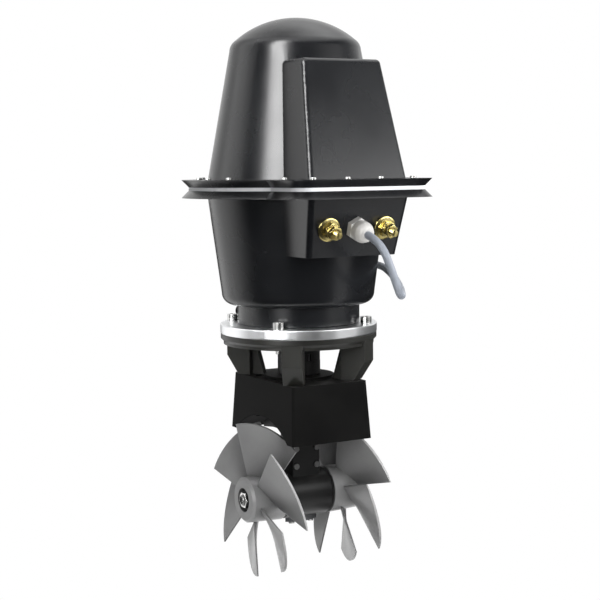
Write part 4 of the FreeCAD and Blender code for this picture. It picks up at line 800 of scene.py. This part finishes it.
studio = {
    "floorLevel": -0.0925,
    "floorRadius": 8,
    "floorPaint": ((0.80, 0.80, 0.80), (0.82, 0.82, 0.82)),
    # the floor in reflections: how bright near the object and away from it, and between which distances
    # it fades
    "floorGlow": (1.7, 0.03),
    "floorGlowReach": (0.12, 0.34),
    "ambient": 0.12,
    # the room in reflections: dark in front, white beyond the cove's reach
    "coveDirection": (0.485, 0.875, 0.0),
    "coveReach": (0.10, 0.75),
    "darkRoom": 0.22,
    # soft panels seen only in reflections: azimuth, elevation, half width, half height, core, strength
    "panels": [
        (-59, 28, 18, 36, 0.30, 21.0),
        (-126, 14, 27, 50, 0.40, 1.7),
        (60, -2, 13, 16, 0.40, 3.0),
        (0, 78, 200, 42, 0.50, 1.8),
    ],
    # the same on the floor: azimuth, half width, strength
    "floorPatches": [(-148, 58, 1.3), (36, 18, 0.9)],
    # name, azimuth, height, distance, width, tall, power, height aimed at
    "lamps": [
        ("leftSoftBox", -12, 0.50, 1.5, 0.42, 1.5, 10.5, 0.25),
        ("rightSoftBox", 48, 0.60, 1.6, 0.35, 1.3, 16.0, 0.25),
        ("lowFrontCard", 31, 0.62, 1.15, 1.0, 0.44, 6.5, 0.42),
        ("topSoftBox", -15, 1.9, 0.5, 1.0, 1.0, 16.0, 0.35),
        ("rimSoftBox", 150, 0.60, 1.6, 0.30, 1.5, 10.0, 0.30),
    ],
    "lampInReflections": "lowFrontCard",
}


def azimuthOf(tree, way):
    split = addNode(tree, "ShaderNodeSeparateXYZ", [(0, way)])
    return addMath(tree, "ARCTAN2", split.outputs["X"], addMath(tree, "MULTIPLY", split.outputs["Y"], -1.0))


def lobe(tree, angle, middle, half, core):
    # 1 in the core about the middle, falling to 0 at half, all in degrees
    aside = addMath(tree, "ABSOLUTE", addMath(tree, "SUBTRACT", angle, math.radians(middle)))
    return addRange(tree, aside, math.radians(half), math.radians(half * core), smooth=True)


def makeFloor():
    bpy.ops.mesh.primitive_circle_add(vertices=96, radius=studio["floorRadius"], fill_type="NGON",
                                      location=(0, 0, studio["floorLevel"]))
    floor = bpy.context.object
    floor.name = "studioFloor"
    material = bpy.data.materials.new("paleFloor")
    material.use_nodes = True
    tree = material.node_tree
    tree.nodes.clear()
    rays = tree.nodes.new("ShaderNodeLightPath").outputs
    spot = objectCoordinates(tree)
    reach = addNode(tree, "ShaderNodeVectorMath", [(0, spot)], operation="LENGTH")
    nearby = addRange(tree, reach.outputs["Value"], *studio["floorGlowReach"], *studio["floorGlow"],
                      smooth=True)
    azimuth = azimuthOf(tree, spot)
    for turn, width, strength in studio["floorPatches"]:
        patch = addMath(tree, "MULTIPLY", lobe(tree, azimuth, turn, width, 0.3), strength)
        nearby = addMath(tree, "MAXIMUM", nearby, patch)
    level = addMath(tree, "MAXIMUM", rays["Is Camera Ray"],
                    addMath(tree, "MULTIPLY", rays["Is Glossy Ray"], nearby))
    seen = addMath(tree, "MAXIMUM", rays["Is Camera Ray"], rays["Is Glossy Ray"])
    noise = addNode(tree, "ShaderNodeTexNoise", [("Vector", spot), ("Scale", 3.0)])
    paint = mixColours(tree, noise.outputs["Fac"], *studio["floorPaint"])
    matte = addNode(tree, "ShaderNodeBsdfDiffuse", [("Color", paint)])
    white = addNode(tree, "ShaderNodeEmission", [("Strength", level)])
    mixed = addNode(tree, "ShaderNodeMixShader", [(0, seen), (1, matte.outputs[0]), (2, white.outputs[0])])
    # from below the floor lets everything through
    clear = tree.nodes.new("ShaderNodeBsdfTransparent")
    under = tree.nodes.new("ShaderNodeNewGeometry").outputs["Backfacing"]
    oneWay = addNode(tree, "ShaderNodeMixShader", [(0, under), (1, mixed.outputs[0]), (2, clear.outputs[0])])
    output = tree.nodes.new("ShaderNodeOutputMaterial")
    tree.links.new(oneWay.outputs[0], output.inputs["Surface"])
    floor.data.materials.append(material)


def lightWorld():
    world = bpy.data.worlds.new("studioRoom")
    bpy.context.scene.world = world
    world.use_nodes = True
    tree = world.node_tree
    background = tree.nodes["Background"]
    rays = tree.nodes.new("ShaderNodeLightPath").outputs
    way = tree.nodes.new("ShaderNodeTexCoord").outputs["Generated"]
    facing = addNode(tree, "ShaderNodeVectorMath", [(0, way), (1, studio["coveDirection"])],
                     operation="DOT_PRODUCT")
    near, far = studio["coveReach"]
    cove = addRange(tree, facing.outputs["Value"], near, far, studio["darkRoom"], 1.0, smooth=True)
    azimuth = azimuthOf(tree, way)
    upward = addNode(tree, "ShaderNodeSeparateXYZ", [(0, way)]).outputs["Z"]
    elevation = addMath(tree, "ARCSINE", upward)
    for turn, height, width, tall, core, strength in studio["panels"]:
        panel = addMath(tree, "MULTIPLY", lobe(tree, azimuth, turn, width, core),
                        lobe(tree, elevation, height, tall, core))
        cove = addMath(tree, "ADD", cove, addMath(tree, "MULTIPLY", panel, strength))
    mirrored = addMath(tree, "MAXIMUM", rays["Is Glossy Ray"], rays["Is Transmission Ray"])
    level = addMath(tree, "ADD", addMath(tree, "MULTIPLY", mirrored, cove),
                    addMath(tree, "MULTIPLY", addMath(tree, "SUBTRACT", 1.0, mirrored), studio["ambient"]))
    strength = addMath(tree, "MAXIMUM", rays["Is Camera Ray"], level)
    tree.links.new(strength, background.inputs["Strength"])
    background.inputs["Color"].default_value = (1, 1, 1, 1)


def hangLamps():
    for name, azimuth, height, distance, width, tall, power, aim in studio["lamps"]:
        light = bpy.data.lights.new(name, "AREA")
        light.shape = "RECTANGLE"
        light.size = width
        light.size_y = tall
        light.energy = power
        lamp = bpy.data.objects.new(name, light)
        bpy.context.scene.collection.objects.link(lamp)
        turn = math.radians(azimuth)
        lamp.location = (math.sin(turn) * distance, -math.cos(turn) * distance, height)
        aimed = Vector((0, 0, aim)) - lamp.location
        lamp.rotation_euler = aimed.to_track_quat("-Z", "Y").to_euler()
        lamp.visible_camera = False
        lamp.visible_glossy = name == studio["lampInReflections"]


makeFloor()
lightWorld()
hangLamps()
bpy.context.scene.view_settings.view_transform = "Standard"
print("studio lit")
